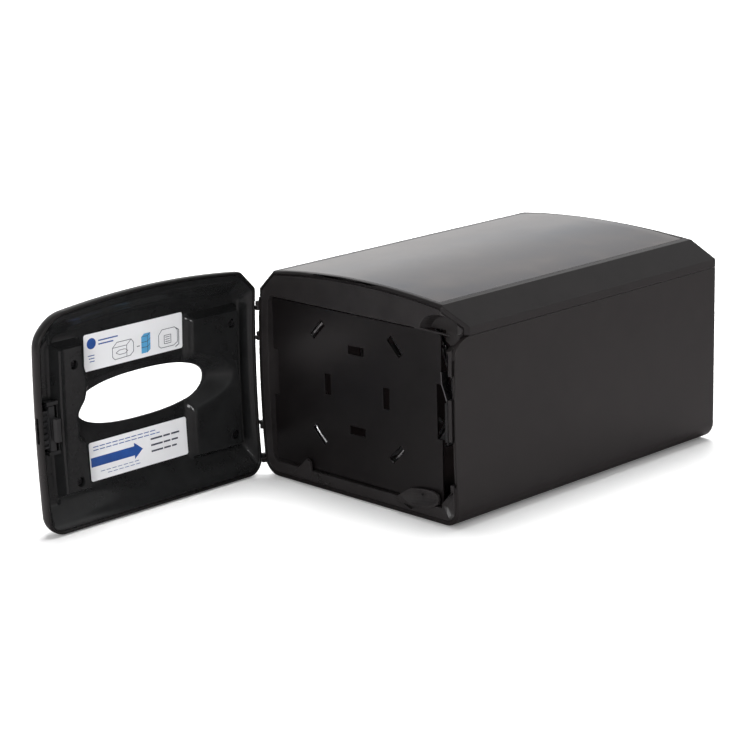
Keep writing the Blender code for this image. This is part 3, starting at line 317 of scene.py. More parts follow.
def add_rod(bm, p0, p1, r0, r1=None, sides=40):
    r1 = r0 if r1 is None else r1
    a, b = Vector(p0), Vector(p1)
    d = b - a
    rot = Vector((0, 0, 1)).rotation_difference(d.normalized()).to_matrix().to_4x4()
    bmesh.ops.create_cone(bm, cap_ends=True, segments=sides, radius1=r0, radius2=r1, depth=d.length,
                          matrix=Matrix.Translation((a + b) / 2) @ rot)


def apply_boolean(o, bm, op):
    """Boolean of a metre mesh object with a cutter bmesh in millimetres."""
    t = obj_from("cutter", bm)
    m = o.modifiers.new("b", "BOOLEAN")
    m.operation = op
    m.solver = "EXACT"
    m.use_self = False
    m.object = t
    bpy.context.view_layer.update()
    dg = bpy.context.evaluated_depsgraph_get()
    me = bpy.data.meshes.new_from_object(o.evaluated_get(dg))
    o.modifiers.clear()
    old = o.data
    o.data = me
    bpy.data.meshes.remove(old)
    me.name = o.name
    td = t.data
    bpy.data.objects.remove(t, do_unlink=True)
    bpy.data.meshes.remove(td)
    b2 = bmesh.new()
    b2.from_mesh(me)
    bmesh.ops.remove_doubles(b2, verts=b2.verts, dist=1e-6)
    bmesh.ops.dissolve_degenerate(b2, edges=b2.edges, dist=1e-6)
    b2.to_mesh(me)
    b2.free()


def outline(off, n_corner=22, n_side=26, n_flat=26, n_top=56, k=6):
    """Body outline moved inward by off, world height, softened knee and shoulder.

    The number of points never changes, so outlines of unlike offset can be
    lofted into each other.
    """
    r, hx, d = max(0.4, CORNER_R - off), HX - off, 2.2 + 0.15 * off
    ux, uz = SHOULDER_X - HX, SHOULDER_H - KNEE_H
    ln = math.hypot(ux, uz)
    ux, uz = ux / ln, uz / ln
    px, pz = HX - uz * off, KNEE_H + ux * off          # a point of the moved slant
    knee = Vector((hx, pz + uz * (hx - px) / ux))
    big = (SHOULDER_X ** 2 + CROWN ** 2) / (2 * CROWN)
    zc, rc = SHOULDER_H + CROWN - big, (SHOULDER_X ** 2 + CROWN ** 2) / (2 * CROWN) - off
    bq = px * ux + (pz - zc) * uz
    t = -bq + math.sqrt(bq * bq - (px * px + (pz - zc) ** 2 - rc * rc))
    cand = [-bq - math.sqrt(bq * bq - (px * px + (pz - zc) ** 2 - rc * rc)), t]
    t = min(cand, key=lambda q: abs(px + ux * q - SHOULDER_X))
    sh = Vector((px + ux * t, pz + uz * t))
    tan = Vector((-(sh.y - zc), sh.x)).normalized()    # along the crown, to the left
    def soft(p, da, db):
        s0, s1 = p + da * d, p + db * d
        return [s0.lerp(p, q).lerp(p.lerp(s1, q), q) for q in [i / k for i in range(k + 1)]]
    slant = Vector((ux, uz))
    right = []
    for i in range(n_corner):
        a = -math.pi / 2 + math.pi / 2 * i / n_corner
        right.append(Vector((HX - CORNER_R + r * math.cos(a), CORNER_R + r * math.sin(a))))
    top_side = knee.y - d - 0.3
    for i in range(n_side + 1):
        right.append(Vector((hx, CORNER_R + (top_side - CORNER_R) * i / n_side)))
    right += soft(knee, Vector((0, -1)), slant)
    right += soft(sh, -slant, tan)
    xs = sh.x - d - 0.3
    crown = []
    for i in range(n_top + 1):
        x = xs * (1 - 2 * i / n_top)
        crown.append(Vector((x, zc + math.sqrt(rc * rc - x * x))))
    left = [Vector((-p.x, p.y)) for p in reversed(right)]
    x0 = HX - CORNER_R
    flat = [Vector((-x0 + 2 * x0 * i / n_flat, off)) for i in range(1, n_flat)]
    return [(p.x, p.y + BASE_Z) for p in right + crown + left + flat]


def door_outline(off, k=8):
    """Body outline with knee and shoulder rounded over on the free side."""
    hx = HX - off
    base = outline(off, k=k)
    # true corners of the moved outline
    ux, uz = SHOULDER_X - HX, SHOULDER_H - KNEE_H
    ln = math.hypot(ux, uz)
    ux, uz = ux / ln, uz / ln
    px, pz = HX - uz * off, KNEE_H + ux * off
    knee = Vector((hx, pz + uz * (hx - px) / ux + BASE_Z))
    nc, ns = 22, 27
    i0 = nc + ns                       # first of the softened knee points
    i1 = i0 + 2 * (k + 1)              # first crown point
    big = (SHOULDER_X ** 2 + CROWN ** 2) / (2 * CROWN)
    zc, rc = SHOULDER_H + CROWN - big, big - off
    bq = px * ux + (pz - zc) * uz
    root = math.sqrt(bq * bq - (px * px + (pz - zc) ** 2 - rc * rc))
    t = min((-bq - root, -bq + root), key=lambda q: abs(px + ux * q - SHOULDER_X))
    sh = Vector((px + ux * t, pz + uz * t + BASE_Z))
    tan = Vector((-(sh.y - BASE_Z - zc), sh.x)).normalized()
    slant = Vector((ux, uz))
    d = min(8.4, (sh - knee).length * 0.46)
    def soft(p, da, db):
        s0, s1 = p + da * d, p + db * d
        return [s0.lerp(p, q).lerp(p.lerp(s1, q), q) for q in [i / k for i in range(k + 1)]]
    new = [tuple(p) for p in soft(knee, Vector((0, -1)), slant) + soft(sh, -slant, tan)]
    out = list(base)
    out[i0:i1] = new
    # side and crown points that the wider corners have swallowed are drawn back
    top_side = knee.y - d - 0.2
    low = CORNER_R + BASE_Z
    for i in range(ns):
        out[nc + i] = (hx, low + (top_side - low) * i / (ns - 1))
    xs = sh.x - d - 0.2
    x_end = -(base[i1][0])
    n_top = 56
    for i in range(n_top + 1):
        x = xs + (x_end - xs) * i / n_top
        out[i1 + i] = (x, zc + math.sqrt(rc * rc - x * x) + BASE_Z)
    return out


# ------------------------------------------------------------------ materials
class Mat:
    """Small wrapper that wires a Principled material from procedural nodes."""

    def __init__(self, name):
        self.m = bpy.data.materials.new(name)
        self.m.use_nodes = True
        self.t = self.m.node_tree
        self.b = self.t.nodes["Principled BSDF"]
        self.co = self.t.nodes.new("ShaderNodeTexCoord")

    def node(self, kind, **kw):
        n = self.t.nodes.new(kind)
        for k, v in kw.items():
            if k in n.inputs:
                n.inputs[k].default_value = v
            else:
                setattr(n, k, v)
        return n

    def link(self, a, b):
        self.t.links.new(a, b)

    def noise(self, scale, detail=2.0, rough=0.5, coord="Object", stretch=None, distortion=0.0):
        n = self.node("ShaderNodeTexNoise")
        n.inputs["Scale"].default_value = scale
        n.inputs["Detail"].default_value = detail
        n.inputs["Roughness"].default_value = rough
        n.inputs["Distortion"].default_value = distortion
        src = self.co.outputs[coord]
        if stretch:
            mp = self.node("ShaderNodeMapping")
            mp.inputs["Scale"].default_value = stretch
            self.link(src, mp.inputs["Vector"])
            src = mp.outputs["Vector"]
        self.link(src, n.inputs["Vector"])
        return n.outputs["Fac"]

    def remap(self, fac, lo, hi, a=0.0, b=1.0):
        n = self.node("ShaderNodeMapRange")
        n.inputs["From Min"].default_value = a
        n.inputs["From Max"].default_value = b
        n.inputs["To Min"].default_value = lo
        n.inputs["To Max"].default_value = hi
        self.link(fac, n.inputs["Value"])
        return n.outputs["Result"]

    def ramp(self, fac, stops):
        n = self.node("ShaderNodeValToRGB")
        e = n.color_ramp.elements
        while len(e) < len(stops):
            e.new(0.5)
        for el, (p, c) in zip(e, stops):
            el.position = p
            el.color = (*c, 1.0)
        self.link(fac, n.inputs["Fac"])
        return n.outputs["Color"]

    def math(self, op, a, b=None, clamp=False):
        n = self.node("ShaderNodeMath")
        n.operation = op
        n.use_clamp = clamp
        for i, v in enumerate((a, b)):
            if v is None:
                continue
            if isinstance(v, (int, float)):
                n.inputs[i].default_value = v
            else:
                self.link(v, n.inputs[i])
        return n.outputs[0]

    def bump(self, heights, normal=None):
        """heights: list of (output, strength, distance)."""
        last = normal
        for h, s, d in heights:
            n = self.node("ShaderNodeBump")
            n.inputs["Strength"].default_value = s
            n.inputs["Distance"].default_value = d
            self.link(h, n.inputs["Height"])
            if last is not None:
                self.link(last, n.inputs["Normal"])
            last = n.outputs["Normal"]
        self.link(last, self.b.inputs["Normal"])
        return last


def plastic(name, colour, rough, mottle=0.2, grain=0.35, grain_size=2600.0, spread=0.05, spec=0.5, coat=0.0, wave=0.0, edge=0.0):
    """Moulded plastic: mottled colour, uneven sheen, fine eroded grain, faint sink waves and dust."""
    k = Mat(name)
    big = k.noise(9.0, 3.0, 0.55)
    mid = k.noise(60.0, 4.0, 0.6)
    fine = k.noise(grain_size, 2.0, 0.6)
    c0 = tuple(c * (1 - mottle) for c in colour)
    c1 = tuple(c * (1 + mottle) for c in colour)
    k.link(k.ramp(mid, [(0.3, c0), (0.72, c1)]), k.b.inputs["Base Color"])
    dust = k.math("MULTIPLY", k.remap(k.noise(900.0, 3.0, 0.7), 0.0, 1.0, 0.62, 0.8), 0.5)
    r = k.math("ADD", k.remap(big, rough - spread, rough + spread, 0.3, 0.7), k.math("MULTIPLY", dust, 0.06))
    r2 = k.math("ADD", r, k.remap(mid, -spread * 0.5, spread * 0.5, 0.3, 0.7), clamp=True)
    k.link(r2, k.b.inputs["Roughness"])
    k.b.inputs["Specular IOR Level"].default_value = spec
    if coat:
        k.b.inputs["Coat Weight"].default_value = coat
        k.b.inputs["Coat Roughness"].default_value = 0.08
    hs = [(fine, grain, 0.00004)]
    if wave:
        hs.insert(0, (k.noise(28.0, 1.0, 0.4), wave, 0.0006))
    normal = None
    if edge:
        bev = k.node("ShaderNodeBevel")
        bev.samples = 6
        bev.inputs["Radius"].default_value = edge
        normal = bev.outputs["Normal"]
    k.bump(hs, normal)
    return k.m


def steel(name, colour, rough, axis=(1, 1, 1)):
    k = Mat(name)
    lines = k.noise(700.0, 3.0, 0.7, stretch=axis)
    k.link(k.ramp(lines, [(0.25, tuple(c * 0.7 for c in colour)), (0.75, colour)]), k.b.inputs["Base Color"])
    k.b.inputs["Metallic"].default_value = 1.0
    k.link(k.remap(k.noise(120.0, 3.0, 0.6), rough * 0.7, rough * 1.4, 0.3, 0.7), k.b.inputs["Roughness"])
    k.bump([(lines, 0.25, 0.00003)])
    return k.m


def rubber(name):
    k = Mat(name)
    k.link(k.ramp(k.noise(80.0, 4.0, 0.6), [(0.3, (0.014, 0.014, 0.014)), (0.7, (0.03, 0.029, 0.028))]), k.b.inputs["Base Color"])
    k.link(k.remap(k.noise(200.0), 0.75, 0.95, 0.3, 0.7), k.b.inputs["Roughness"])
    k.bump([(k.noise(1800.0, 3.0, 0.7), 0.6, 0.0001)])
    return k.m


M_HOUSING = plastic("housing_plastic", (0.0085, 0.0066, 0.0066), 0.36, grain=0.30, grain_size=2300.0, edge=0.0008)
M_COVER = plastic("cover_plastic", (0.0072, 0.0058, 0.0060), 0.30, grain=0.16, grain_size=2300.0, spread=0.02, edge=0.0010)
M_BEZEL = plastic("bezel_plastic", (0.0200, 0.0180, 0.0182), 0.32, grain=0.25, edge=0.0006)
M_DOOR = plastic("door_gloss_plastic", (0.0125, 0.0128, 0.0132), 0.16, grain=0.05, spread=0.03, wave=0.10, spec=0.36)
M_DOOR_OUT = plastic("door_outer_plastic", (0.006, 0.0055, 0.0055), 0.30, grain=0.22, edge=0.0005)
M_PLATE = plastic("plate_coating", (0.0055, 0.0045, 0.0047), 0.33, grain=0.35, grain_size=1500.0, wave=0.06, edge=0.0004)
M_NYLON = plastic("nylon_black", (0.028, 0.028, 0.029), 0.48, grain=0.3)
M_LATCH = plastic("latch_plastic", (0.014, 0.014, 0.015), 0.42, grain=0.3, edge=0.0003)
M_CARD = plastic("card_stock", (0.10, 0.10, 0.105), 0.75, grain=0.6, grain_size=1200.0)
M_RUBBER = rubber("mat_rubber")
M_WIRE = steel("spring_wire", (0.90, 0.90, 0.91), 0.30)
M_SCREW = steel("screw_black_steel", (0.10, 0.10, 0.105), 0.38)
M_LEAF = steel("leaf_steel", (0.35, 0.35, 0.36), 0.3, (1, 1, 8))
M_PAPER = plastic("label_paper", (0.86, 0.86, 0.88), 0.42, mottle=0.02, grain=0.3, grain_size=1500.0)


def quiet_in_reflections(m):
    """Paper that hardly shows in the gloss of the plastic beside it."""
    t = m.node_tree
    out = [n for n in t.nodes if n.type == "OUTPUT_MATERIAL"][0]
    src = t.nodes["Principled BSDF"].outputs["BSDF"]
    lp, dark, mix = (t.nodes.new(n) for n in ("ShaderNodeLightPath", "ShaderNodeBsdfDiffuse", "ShaderNodeMixShader"))
    dark.inputs["Color"].default_value = (0.10, 0.10, 0.10, 1)
    t.links.new(lp.outputs["Is Glossy Ray"], mix.inputs["Fac"])
    t.links.new(src, mix.inputs[1])
    t.links.new(dark.outputs["BSDF"], mix.inputs[2])
    t.links.new(mix.outputs["Shader"], out.inputs["Surface"])


quiet_in_reflections(M_PAPER)


def window_material():
    """Smoked glossy panel, slightly uneven, with a cloudy card showing through."""
    k = Mat("smoked_window")
    cloud = k.noise(11.0, 3.0, 0.5, stretch=(1.0, 0.6, 1.0))
    fleck = k.noise(48.0, 4.0, 0.65)
    mix = k.math("ADD", k.math("MULTIPLY", cloud, 0.75), k.math("MULTIPLY", fleck, 0.25))
    k.link(k.ramp(mix, [(0.30, (0.020, 0.024, 0.034)), (0.5, (0.048, 0.043, 0.044)), (0.70, (0.092, 0.078, 0.072))]),
           k.b.inputs["Base Color"])
    k.link(k.remap(k.noise(22.0, 4.0, 0.6), 0.07, 0.15, 0.3, 0.7), k.b.inputs["Roughness"])
    sep = k.node("ShaderNodeSeparateXYZ")
    k.link(k.co.outputs["Object"], sep.inputs["Vector"])
    k.link(k.remap(sep.outputs["Y"], 0.56, 0.33, -0.12, 0.12), k.b.inputs["Specular IOR Level"])
    k.bump([(k.noise(30.0, 2.0, 0.5), 0.06, 0.0008), (k.noise(3000.0, 1.0, 0.5), 0.05, 0.00002)])
    return k.m


M_WINDOW = window_material()

GIVE = {
    "housing_shell": M_HOUSING, "rear_panel": M_HOUSING, "top_cover": M_COVER,
    "front_bezel": M_BEZEL, "display_window": M_WINDOW, "display_card": M_CARD,
    "anti_slip_mat": M_RUBBER, "slide_rail_left": M_NYLON, "slide_rail_right": M_NYLON,
    "spring_seat": M_NYLON, "slide_shoe": M_NYLON, "pusher_plate": M_PLATE,
    "pusher_spring": M_WIRE, "latch_spring": M_WIRE, "catch_leaf": M_LEAF,
    "latch_catch": M_LATCH, "latch_slide": M_LATCH, "latch_guide": M_DOOR,
    "door_shell": M_DOOR_OUT, "door_inner_panel": M_DOOR,
    "instruction_label": M_PAPER, "data_label": M_PAPER,
}


for name, o in NODES.items():
    mat = GIVE.get(name)
    if mat is None:
        mat = M_SCREW
    dress(o, mat)



# ----------------------------------------------------------- door, fine form
def make_inner_panel():
    step = 1.25
    nu, nz = int(193 / step) + 1, int(160 / step) + 1
    us = [193.0 * i / (nu - 1) for i in range(nu)]
    zs = [160.0 * j / (nz - 1) for j in range(nz)]
    bm = bmesh.new()
    h = [[panel_v(u, z) - bow_at(z) for z in zs] for u in us]
    for _ in range(1):   # soften the steps a little, as moulded edges are
        g = [row[:] for row in h]
        for i in range(1, nu - 1):
            for j in range(1, nz - 1):
                g[i][j] = (h[i][j] * 4 + h[i - 1][j] + h[i + 1][j] + h[i][j - 1] + h[i][j + 1]) / 8
        h = g
    hi = [[bm.verts.new(uvz(us[i], h[i][j], zs[j])) for j in range(nz)] for i in range(nu)]
    lo = [[bm.verts.new(uvz(us[i], h[i][j] - 1.5, zs[j])) for j in range(nz)] for i in range(nu)]
    for i in range(nu - 1):
        for j in range(nz - 1):
            for g, flip in ((hi, 0), (lo, 1)):
                q = (g[i][j], g[i + 1][j], g[i + 1][j + 1], g[i][j + 1])
                bm.faces.new(q if flip else tuple(reversed(q)))
    for i in range(nu - 1):
        bm.faces.new((hi[i][0], hi[i + 1][0], lo[i + 1][0], lo[i][0]))
        bm.faces.new((hi[i + 1][nz - 1], hi[i][nz - 1], lo[i][nz - 1], lo[i + 1][nz - 1]))
    for j in range(nz - 1):
        bm.faces.new((hi[0][j + 1], hi[0][j], lo[0][j], lo[0][j + 1]))
        bm.faces.new((hi[nu - 1][j], hi[nu - 1][j + 1], lo[nu - 1][j + 1], lo[nu - 1][j]))
    o = obj_from("door_tray", bm)
    c = bmesh.new()
    add_prism(c, [(x + HX + AXIS_OUT, z) for x, z in door_outline(DOOR_WALL + 0.4)], -60, 30)
    apply_boolean(o, c, "INTERSECT")
    c = bmesh.new()
    mouth = [super_ellipse(HOLE_A, HOLE_B, 2 * math.pi * i / 120) for i in range(120)]
    add_prism(c, [(a + HOLE_U + AXIS_OUT, b + HOLE_Z) for a, b in mouth], -60, 30)
    z = LATCH_Z
    bmesh.ops.create_cube(c, size=1.0, matrix=Matrix.Translation((183.35 + AXIS_OUT, -5, z)) @ Matrix.Diagonal((13.9, 50, 37.6, 1)))
    apply_boolean(o, c, "DIFFERENCE")
    c = bmesh.new()
    for u, zz in DOOR_SCREWS:
        v = -bow_at(zz)
        add_rod(c, uvz(u, v - 8.0, zz), uvz(u, v + panel_v(u, zz) - 0.2, zz), 4.8)
    apply_boolean(o, c, "UNION")
    c = bmesh.new()
    for u, zz in DOOR_SCREWS:
        v = -bow_at(zz)
        add_rod(c, uvz(u, v - 6.0, zz), uvz(u, v + 3, zz), 3.3)
    apply_boolean(o, c, "DIFFERENCE")
    b2 = bmesh.new()
    b2.from_mesh(o.data)
    bmesh.ops.scale(b2, vec=(1 / MM, 1 / MM, 1 / MM), verts=b2.verts)
    to_world(b2)
    bmesh.ops.scale(b2, vec=(MM, MM, MM), verts=b2.verts)
    b2.to_mesh(o.data)
    b2.free()
    dress(o, M_DOOR, 38)
    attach(o, "door")
    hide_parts("door_inner_panel")
    return o


def make_door_shell():
    def ring(off, v):
        return [(x + HX, v, z) for x, z in door_outline(off)]
    rings = [ring(0.5, 0.0), ring(0.15, -0.12), ring(0.0, -0.5), ring(0.0, -DOOR_SKIRT)]
    nf = 12
    for k in range(1, nf + 1):
        a = math.pi / 2 * k / nf
        rings.append(ring(DOOR_FILLET * (1 - math.cos(a)), -DOOR_SKIRT - DOOR_FILLET * math.sin(a)))
    base = door_outline(DOOR_FILLET)
    def mouth(a, b):
        out = []
        for x, z in base:
            e = super_ellipse(a, b, math.atan2((z - HOLE_Z) / 76.0, x / 96.5))
            out.append((e[0] + HOLE_U, e[1] + HOLE_Z))
        return out
    edge = ring(DOOR_FILLET, 0.0)
    m1 = mouth(74.0, 33.0)
    m2 = mouth(HOLE_A + 3.0, HOLE_B + 3.0)
    fv = face_v(HOLE_U, HOLE_Z)
    nt = 12
    for t in [k / nt for k in range(1, nt + 1)]:
        rings.append([(e[0] + (m[0] - e[0]) * t, face_v(e[0] + (m[0] - e[0]) * t, e[2] + (m[1] - e[2]) * t),
                       e[2] + (m[1] - e[2]) * t) for e, m in zip(edge, m1)])
    last = rings[-1]
    for t in (0.3, 0.6, 0.85, 1.0):   # rolled mouth edge
        w = t * t
        rings.append([(p[0] + (m[0] - p[0]) * t, p[1] + (fv + 1.2 - p[1]) * w, p[2] + (m[1] - p[2]) * t)
                      for p, m in zip(last, m2)])
    rings.append([(m[0], fv + 2.5, m[1]) for m in m2])
    for t in [k / 6 for k in range(6, 0, -1)]:
        rings.append([(e[0] + (m[0] - e[0]) * t,
                       face_v(e[0] + (m[0] - e[0]) * t, e[2] + (m[1] - e[2]) * t) + (DOOR_WALL if t < 1 else 1.8),
                       e[2] + (m[1] - e[2]) * t) for e, m in zip(edge, m1)])
    ri = DOOR_FILLET - DOOR_WALL
    for k in range(6, 0, -1):
        a = math.pi / 2 * k / 6
        rings.append(ring(DOOR_WALL + ri * (1 - math.cos(a)), -DOOR_SKIRT - ri * math.sin(a)))
    rings.append(ring(DOOR_WALL, -0.4))
    rings.append(ring(DOOR_WALL - 0.4, 0.0))
    bm = bmesh.new()
    vs = [[bm.verts.new(uvz(u, v - bow_at(z), z)) for u, v, z in r] for r in rings]
    n, m = len(vs[0]), len(vs)
    for i in range(m):
        a, b = vs[i], vs[(i + 1) % m]
        for k in range(n):
            j = (k + 1) % n
            bm.faces.new((a[k], a[j], b[j], b[k]))
    o = obj_from("door_cover", bm)
    c = bmesh.new()
    for u, z in DOOR_SCREWS:
        v = -bow_at(z)
        add_rod(c, uvz(u, v + face_v(u, z) + 0.9, z), uvz(u, v - 8.4, z), 4.0)
    apply_boolean(o, c, "UNION")
    for z0, z1 in KNUCKLES:
        c = bmesh.new()
        add_rod(c, (0, 0, z0), (0, 0, z1), KNUCKLE_R)
        apply_boolean(o, c, "UNION")
        b0, b1 = -bow_at(z0), -bow_at(z1)
        c = bmesh.new()
        for p in ((0, -1.8, z0), (0, -0.5, z0), (3.0, b0 - 2.4, z0), (3.0, b0 - 0.8, z0),
                  (0, -1.8, z1), (0, -0.5, z1), (3.0, b1 - 2.4, z1), (3.0, b1 - 0.8, z1)):
            c.verts.new(p)
        bmesh.ops.convex_hull(c, input=c.verts)
        apply_boolean(o, c, "UNION")
    c = bmesh.new()
    for z0, z1 in KNUCKLES:
        add_rod(c, (0, 0, z0 - 0.2), (0, 0, z1 + 0.2), PIN_R + 0.2)
    for z0, z1 in LUGS:
        add_rod(c, (0, 0, z0 - 0.3), (0, 0, z1 + 0.3), KNUCKLE_R + 0.5)
    vc = -3.0 - bow_at(LATCH_Z)
    bmesh.ops.create_cube(c, size=1.0, matrix=Matrix.Translation((193 + AXIS_OUT, vc - 0.4, LATCH_Z)) @ Matrix.Diagonal((8.0, 3.2, 18.0, 1)))
    apply_boolean(o, c, "DIFFERENCE")
    b2 = bmesh.new()
    b2.from_mesh(o.data)
    bmesh.ops.scale(b2, vec=(1 / MM, 1 / MM, 1 / MM), verts=b2.verts)
    to_world(b2)
    bmesh.ops.scale(b2, vec=(MM, MM, MM), verts=b2.verts)
    b2.to_mesh(o.data)
    b2.free()
    dress(o, M_DOOR_OUT, 38)
    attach(o, "door")
    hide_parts("door_shell")
    return o


# -------------------------------------------------------------------- labels
def label_surface(z, lift=0.0):
    return max(panel_v(109.0, z), LABEL_V) - bow_at(z) + 0.40 + lift


def make_label(name, node, u0, u1, z0, z1):
    """Paper label with rounded corners that follows the bowed field."""
    r, n = 1.6, 6
    pts = []
    for cu, cz, a0 in ((u1 - r, z0 + r, -90), (u1 - r, z1 - r, 0), (u0 + r, z1 - r, 90), (u0 + r, z0 + r, 180)):
        for i in range(n + 1):
            a = math.radians(a0 + 90 * i / n)
            pts.append((cu + r * math.cos(a), cz + r * math.sin(a)))
    bm = bmesh.new()
    a = [bm.verts.new(uvz(u, label_surface(z, 0.0), z)) for u, z in pts]
    b = [bm.verts.new(uvz(u, label_surface(z, -0.18), z)) for u, z in pts]
    fa = bm.faces.new(a)
    fb = bm.faces.new(list(reversed(b)))
    for i in range(len(pts)):
        j = (i + 1) % len(pts)
        bm.faces.new((a[i], b[i], b[j], a[j]))
    # slice level so that the sheet bends with the bow
    zz = z0 + 3
    while zz < z1 - 1:
        bmesh.ops.bisect_plane(bm, geom=list(bm.verts) + list(bm.edges) + list(bm.faces), dist=1e-6,
                               plane_co=(0, 0, zz), plane_no=(0, 0, 1))
        zz += 3.0
    for v in bm.verts:
        top = abs(v.co.y - (label_surface(v.co.z, 0.0) + AXIS_FRONT - RIM_GAP)) < 0.09
        v.co.y = label_surface(v.co.z, 0.0 if top else -0.18) + AXIS_FRONT - RIM_GAP
    to_world(bm)
    o = obj_from(name, bm, M_PAPER, 40, "door")
    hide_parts(node)
    return o


def make_print(name, shapes, mat, top=0.07):
    """Flat printed marks, each a thin closed prism on the label surface."""
    bm = bmesh.new()
    for pts in shapes:
        a = [bm.verts.new(uvz(u, label_surface(z, top), z)) for u, z in pts]
        b = [bm.verts.new(uvz(u, label_surface(z, 0.015), z)) for u, z in pts]
        bm.faces.new(a)
        bm.faces.new(list(reversed(b)))
        for i in range(len(pts)):
            j = (i + 1) % len(pts)
            bm.faces.new((a[i], b[i], b[j], a[j]))
    to_world(bm)
    return obj_from(name, bm, mat, 40, "door")


def bar(u0, u1, z0, z1):
    return [(u0, z0), (u1, z0), (u1, z1), (u0, z1)]


def stroke(p, q, w=0.35):
    a, b = Vector(p), Vector(q)
    d = (b - a).normalized()
    n = Vector((-d.y, d.x)) * w / 2
    return [tuple(a + n), tuple(b + n), tuple(b - n), tuple(a - n)]


def path(pts, w=0.35, closed=False):
    out = []
    k = len(pts) if closed else len(pts) - 1
    for i in range(k):
        out.append(stroke(pts[i], pts[(i + 1) % len(pts)], w))
    return out


def disc(u, z, r, n=28, squash=1.0):
    return [(u + r * math.cos(2 * math.pi * i / n), z + squash * r * math.sin(2 * math.pi * i / n)) for i in range(n)]


def make_labels():
    make_label("upper_label", "instruction_label", 59.6, 146.5, 105.0, 131.0)
    make_label("lower_label", "data_label", 59.6, 146.5, 27.0, 54.5)
    blue, sky, ink = [], [], []
    # upper label: a round mark with plain lines, then three pictograms
    blue.append(disc(140.0, 124.0, 3.9))
    for i, (a, b) in enumerate(((117.0, 134.0), (121.0, 134.0))):
        blue.append(bar(a, b, 124.6 - 2.6 * i, 125.5 - 2.6 * i))
    for i in range(3):
        blue.append(bar(137.6, 143.2 - 0.7 * i, 115.2 - 2.1 * i, 115.8 - 2.1 * i))
    # closed dispenser outline
    ink += path([(122.0, 110.5), (122.0, 117.0), (118.0, 120.5), (105.5, 120.5), (103.5, 118.0), (103.5, 111.5), (106.5, 109.0), (120.0, 108.5)], 0.4, True)
    ink += path([(119.0, 113.0), (116.0, 111.4), (111.0, 111.4), (108.5, 113.0), (111.0, 114.6), (116.0, 114.6)], 0.35, True)
    ink += path([(122.0, 117.0), (109.5, 117.0), (105.5, 120.5)], 0.35)
    ink += path([(109.5, 117.0), (109.5, 109.0)], 0.35)
    # napkin pack
    sky.append([(96.5, 108.0), (96.5, 120.0), (94.0, 122.0), (88.5, 122.0), (88.5, 110.0), (91.0, 108.0)])
    ink += path([(96.5, 116.0), (91.0, 116.0), (88.5, 118.0)], 0.4) + path([(96.5, 112.2), (91.0, 112.2), (88.5, 114.2)], 0.4)
    ink += path([(91.0, 108.0), (91.0, 120.0), (88.5, 122.0)], 0.35) + path([(96.5, 120.0), (91.0, 120.0)], 0.35)
    ink += path([(100.5, 114.0), (98.0, 114.0)], 0.5)
    # open dispenser being filled
    ink += path([(81.0, 110.0), (81.0, 118.0), (78.0, 121.5), (66.5, 121.5), (64.0, 119.0), (64.0, 110.5), (67.5, 108.5), (79.0, 108.5)], 0.4, True)
    ink += path([(76.0, 111.0), (70.0, 111.0), (70.0, 117.0), (76.0, 117.0)], 0.4, True)
    ink += path([(66.0, 121.0), (62.8, 119.0), (62.8, 108.5), (66.0, 107.0)], 0.5)
    for i in range(3):
        ink.append(bar(71.0, 75.0, 112.2 + 1.6 * i, 112.6 + 1.6 * i))
    # lower label: two faint rules, a broad arrow and a plain three-line field
    for k, (a, b) in enumerate(((88.0, 143.0), (84.0, 143.0))):
        u = b
        while u > a:
            blue.append(bar(max(a, u - 4.6), u, 50.6 - 2.3 * k, 51.2 - 2.3 * k))
            u -= 5.6
    blue.append([(145.6, 37.0), (145.6, 43.6), (107.5, 43.6), (107.5, 46.2), (100.0, 40.3), (107.5, 34.4), (107.5, 37.0)])
    for i in range(2):
        u = 138.0 - 6 * i
        while u > 106.0:
            blue.append(bar(u - 3.8, u, 32.6 - 2.2 * i, 33.0 - 2.2 * i))
            u -= 5.0
    for i in range(3):
        for a, b in ((82.0, 92.5), (75.0, 81.0), (66.5 + 1.5 * i, 73.8)):
            ink.append(bar(a, b, 44.6 - 4.4 * i, 45.8 - 4.4 * i))
    make_print("label_marks_blue", blue, M_BLUE)
    make_print("label_marks_sky", sky, M_SKY)
    make_print("label_marks_ink", ink, M_INK, 0.11)


# -------------------------------------------------------------------- window
def make_window():
    """Smoked panel with a true crown and softened long and short edges."""
    w = WINDOW_X - 0.3
    y0, y1 = YF + WINDOW_FRONT + 0.3, YF + WINDOW_FRONT + WINDOW_LENGTH - 0.3
    n = 72
    def section(inset, drop):
        half = w - inset
        xs = [half * (1 - 2 * i / n) for i in range(n + 1)]
        return [(x, crown_z(x) + BASE_Z - drop) for x in xs]
    rings = []
    for y, inset, drop in ((y0, 0.0, 0.0), (y0 + 0.06, 0.0, 0.0), (y0 + 0.25, 0.0, 0.0)):
        rings.append((y, 0.0, 0.12 - (y - y0) * 0.48))
    for i in range(25):
        rings.append((y0 + 0.5 + (y1 - y0 - 1.0) * i / 24, 0.0, 0.0))
    rings += [(y1 - 0.25, 0.0, 0.02), (y1 - 0.06, 0.0, 0.09), (y1, 0.0, 0.12)]
    bm = bmesh.new()
    loops = []
    for y, inset, drop in rings:
        top = section(0.08, drop)
        low = [(x, z) for x, z in reversed(section(0.0, 1.4))]
        pts = [(w, top[0][1] - 0.08)] + top + [(-w, top[-1][1] - 0.08)] + low
        loops.append([bm.verts.new((x, y, z)) for x, z in pts])
    for a, b in zip(loops, loops[1:]):
        for i in range(len(a)):
            j = (i + 1) % len(a)
            bm.faces.new((a[i], b[i], b[j], a[j]))
    bm.faces.new(loops[0])
    bm.faces.new(list(reversed(loops[-1])))
    o = obj_from("window_panel", bm, M_WINDOW, 35, "body")
    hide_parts("display_window")


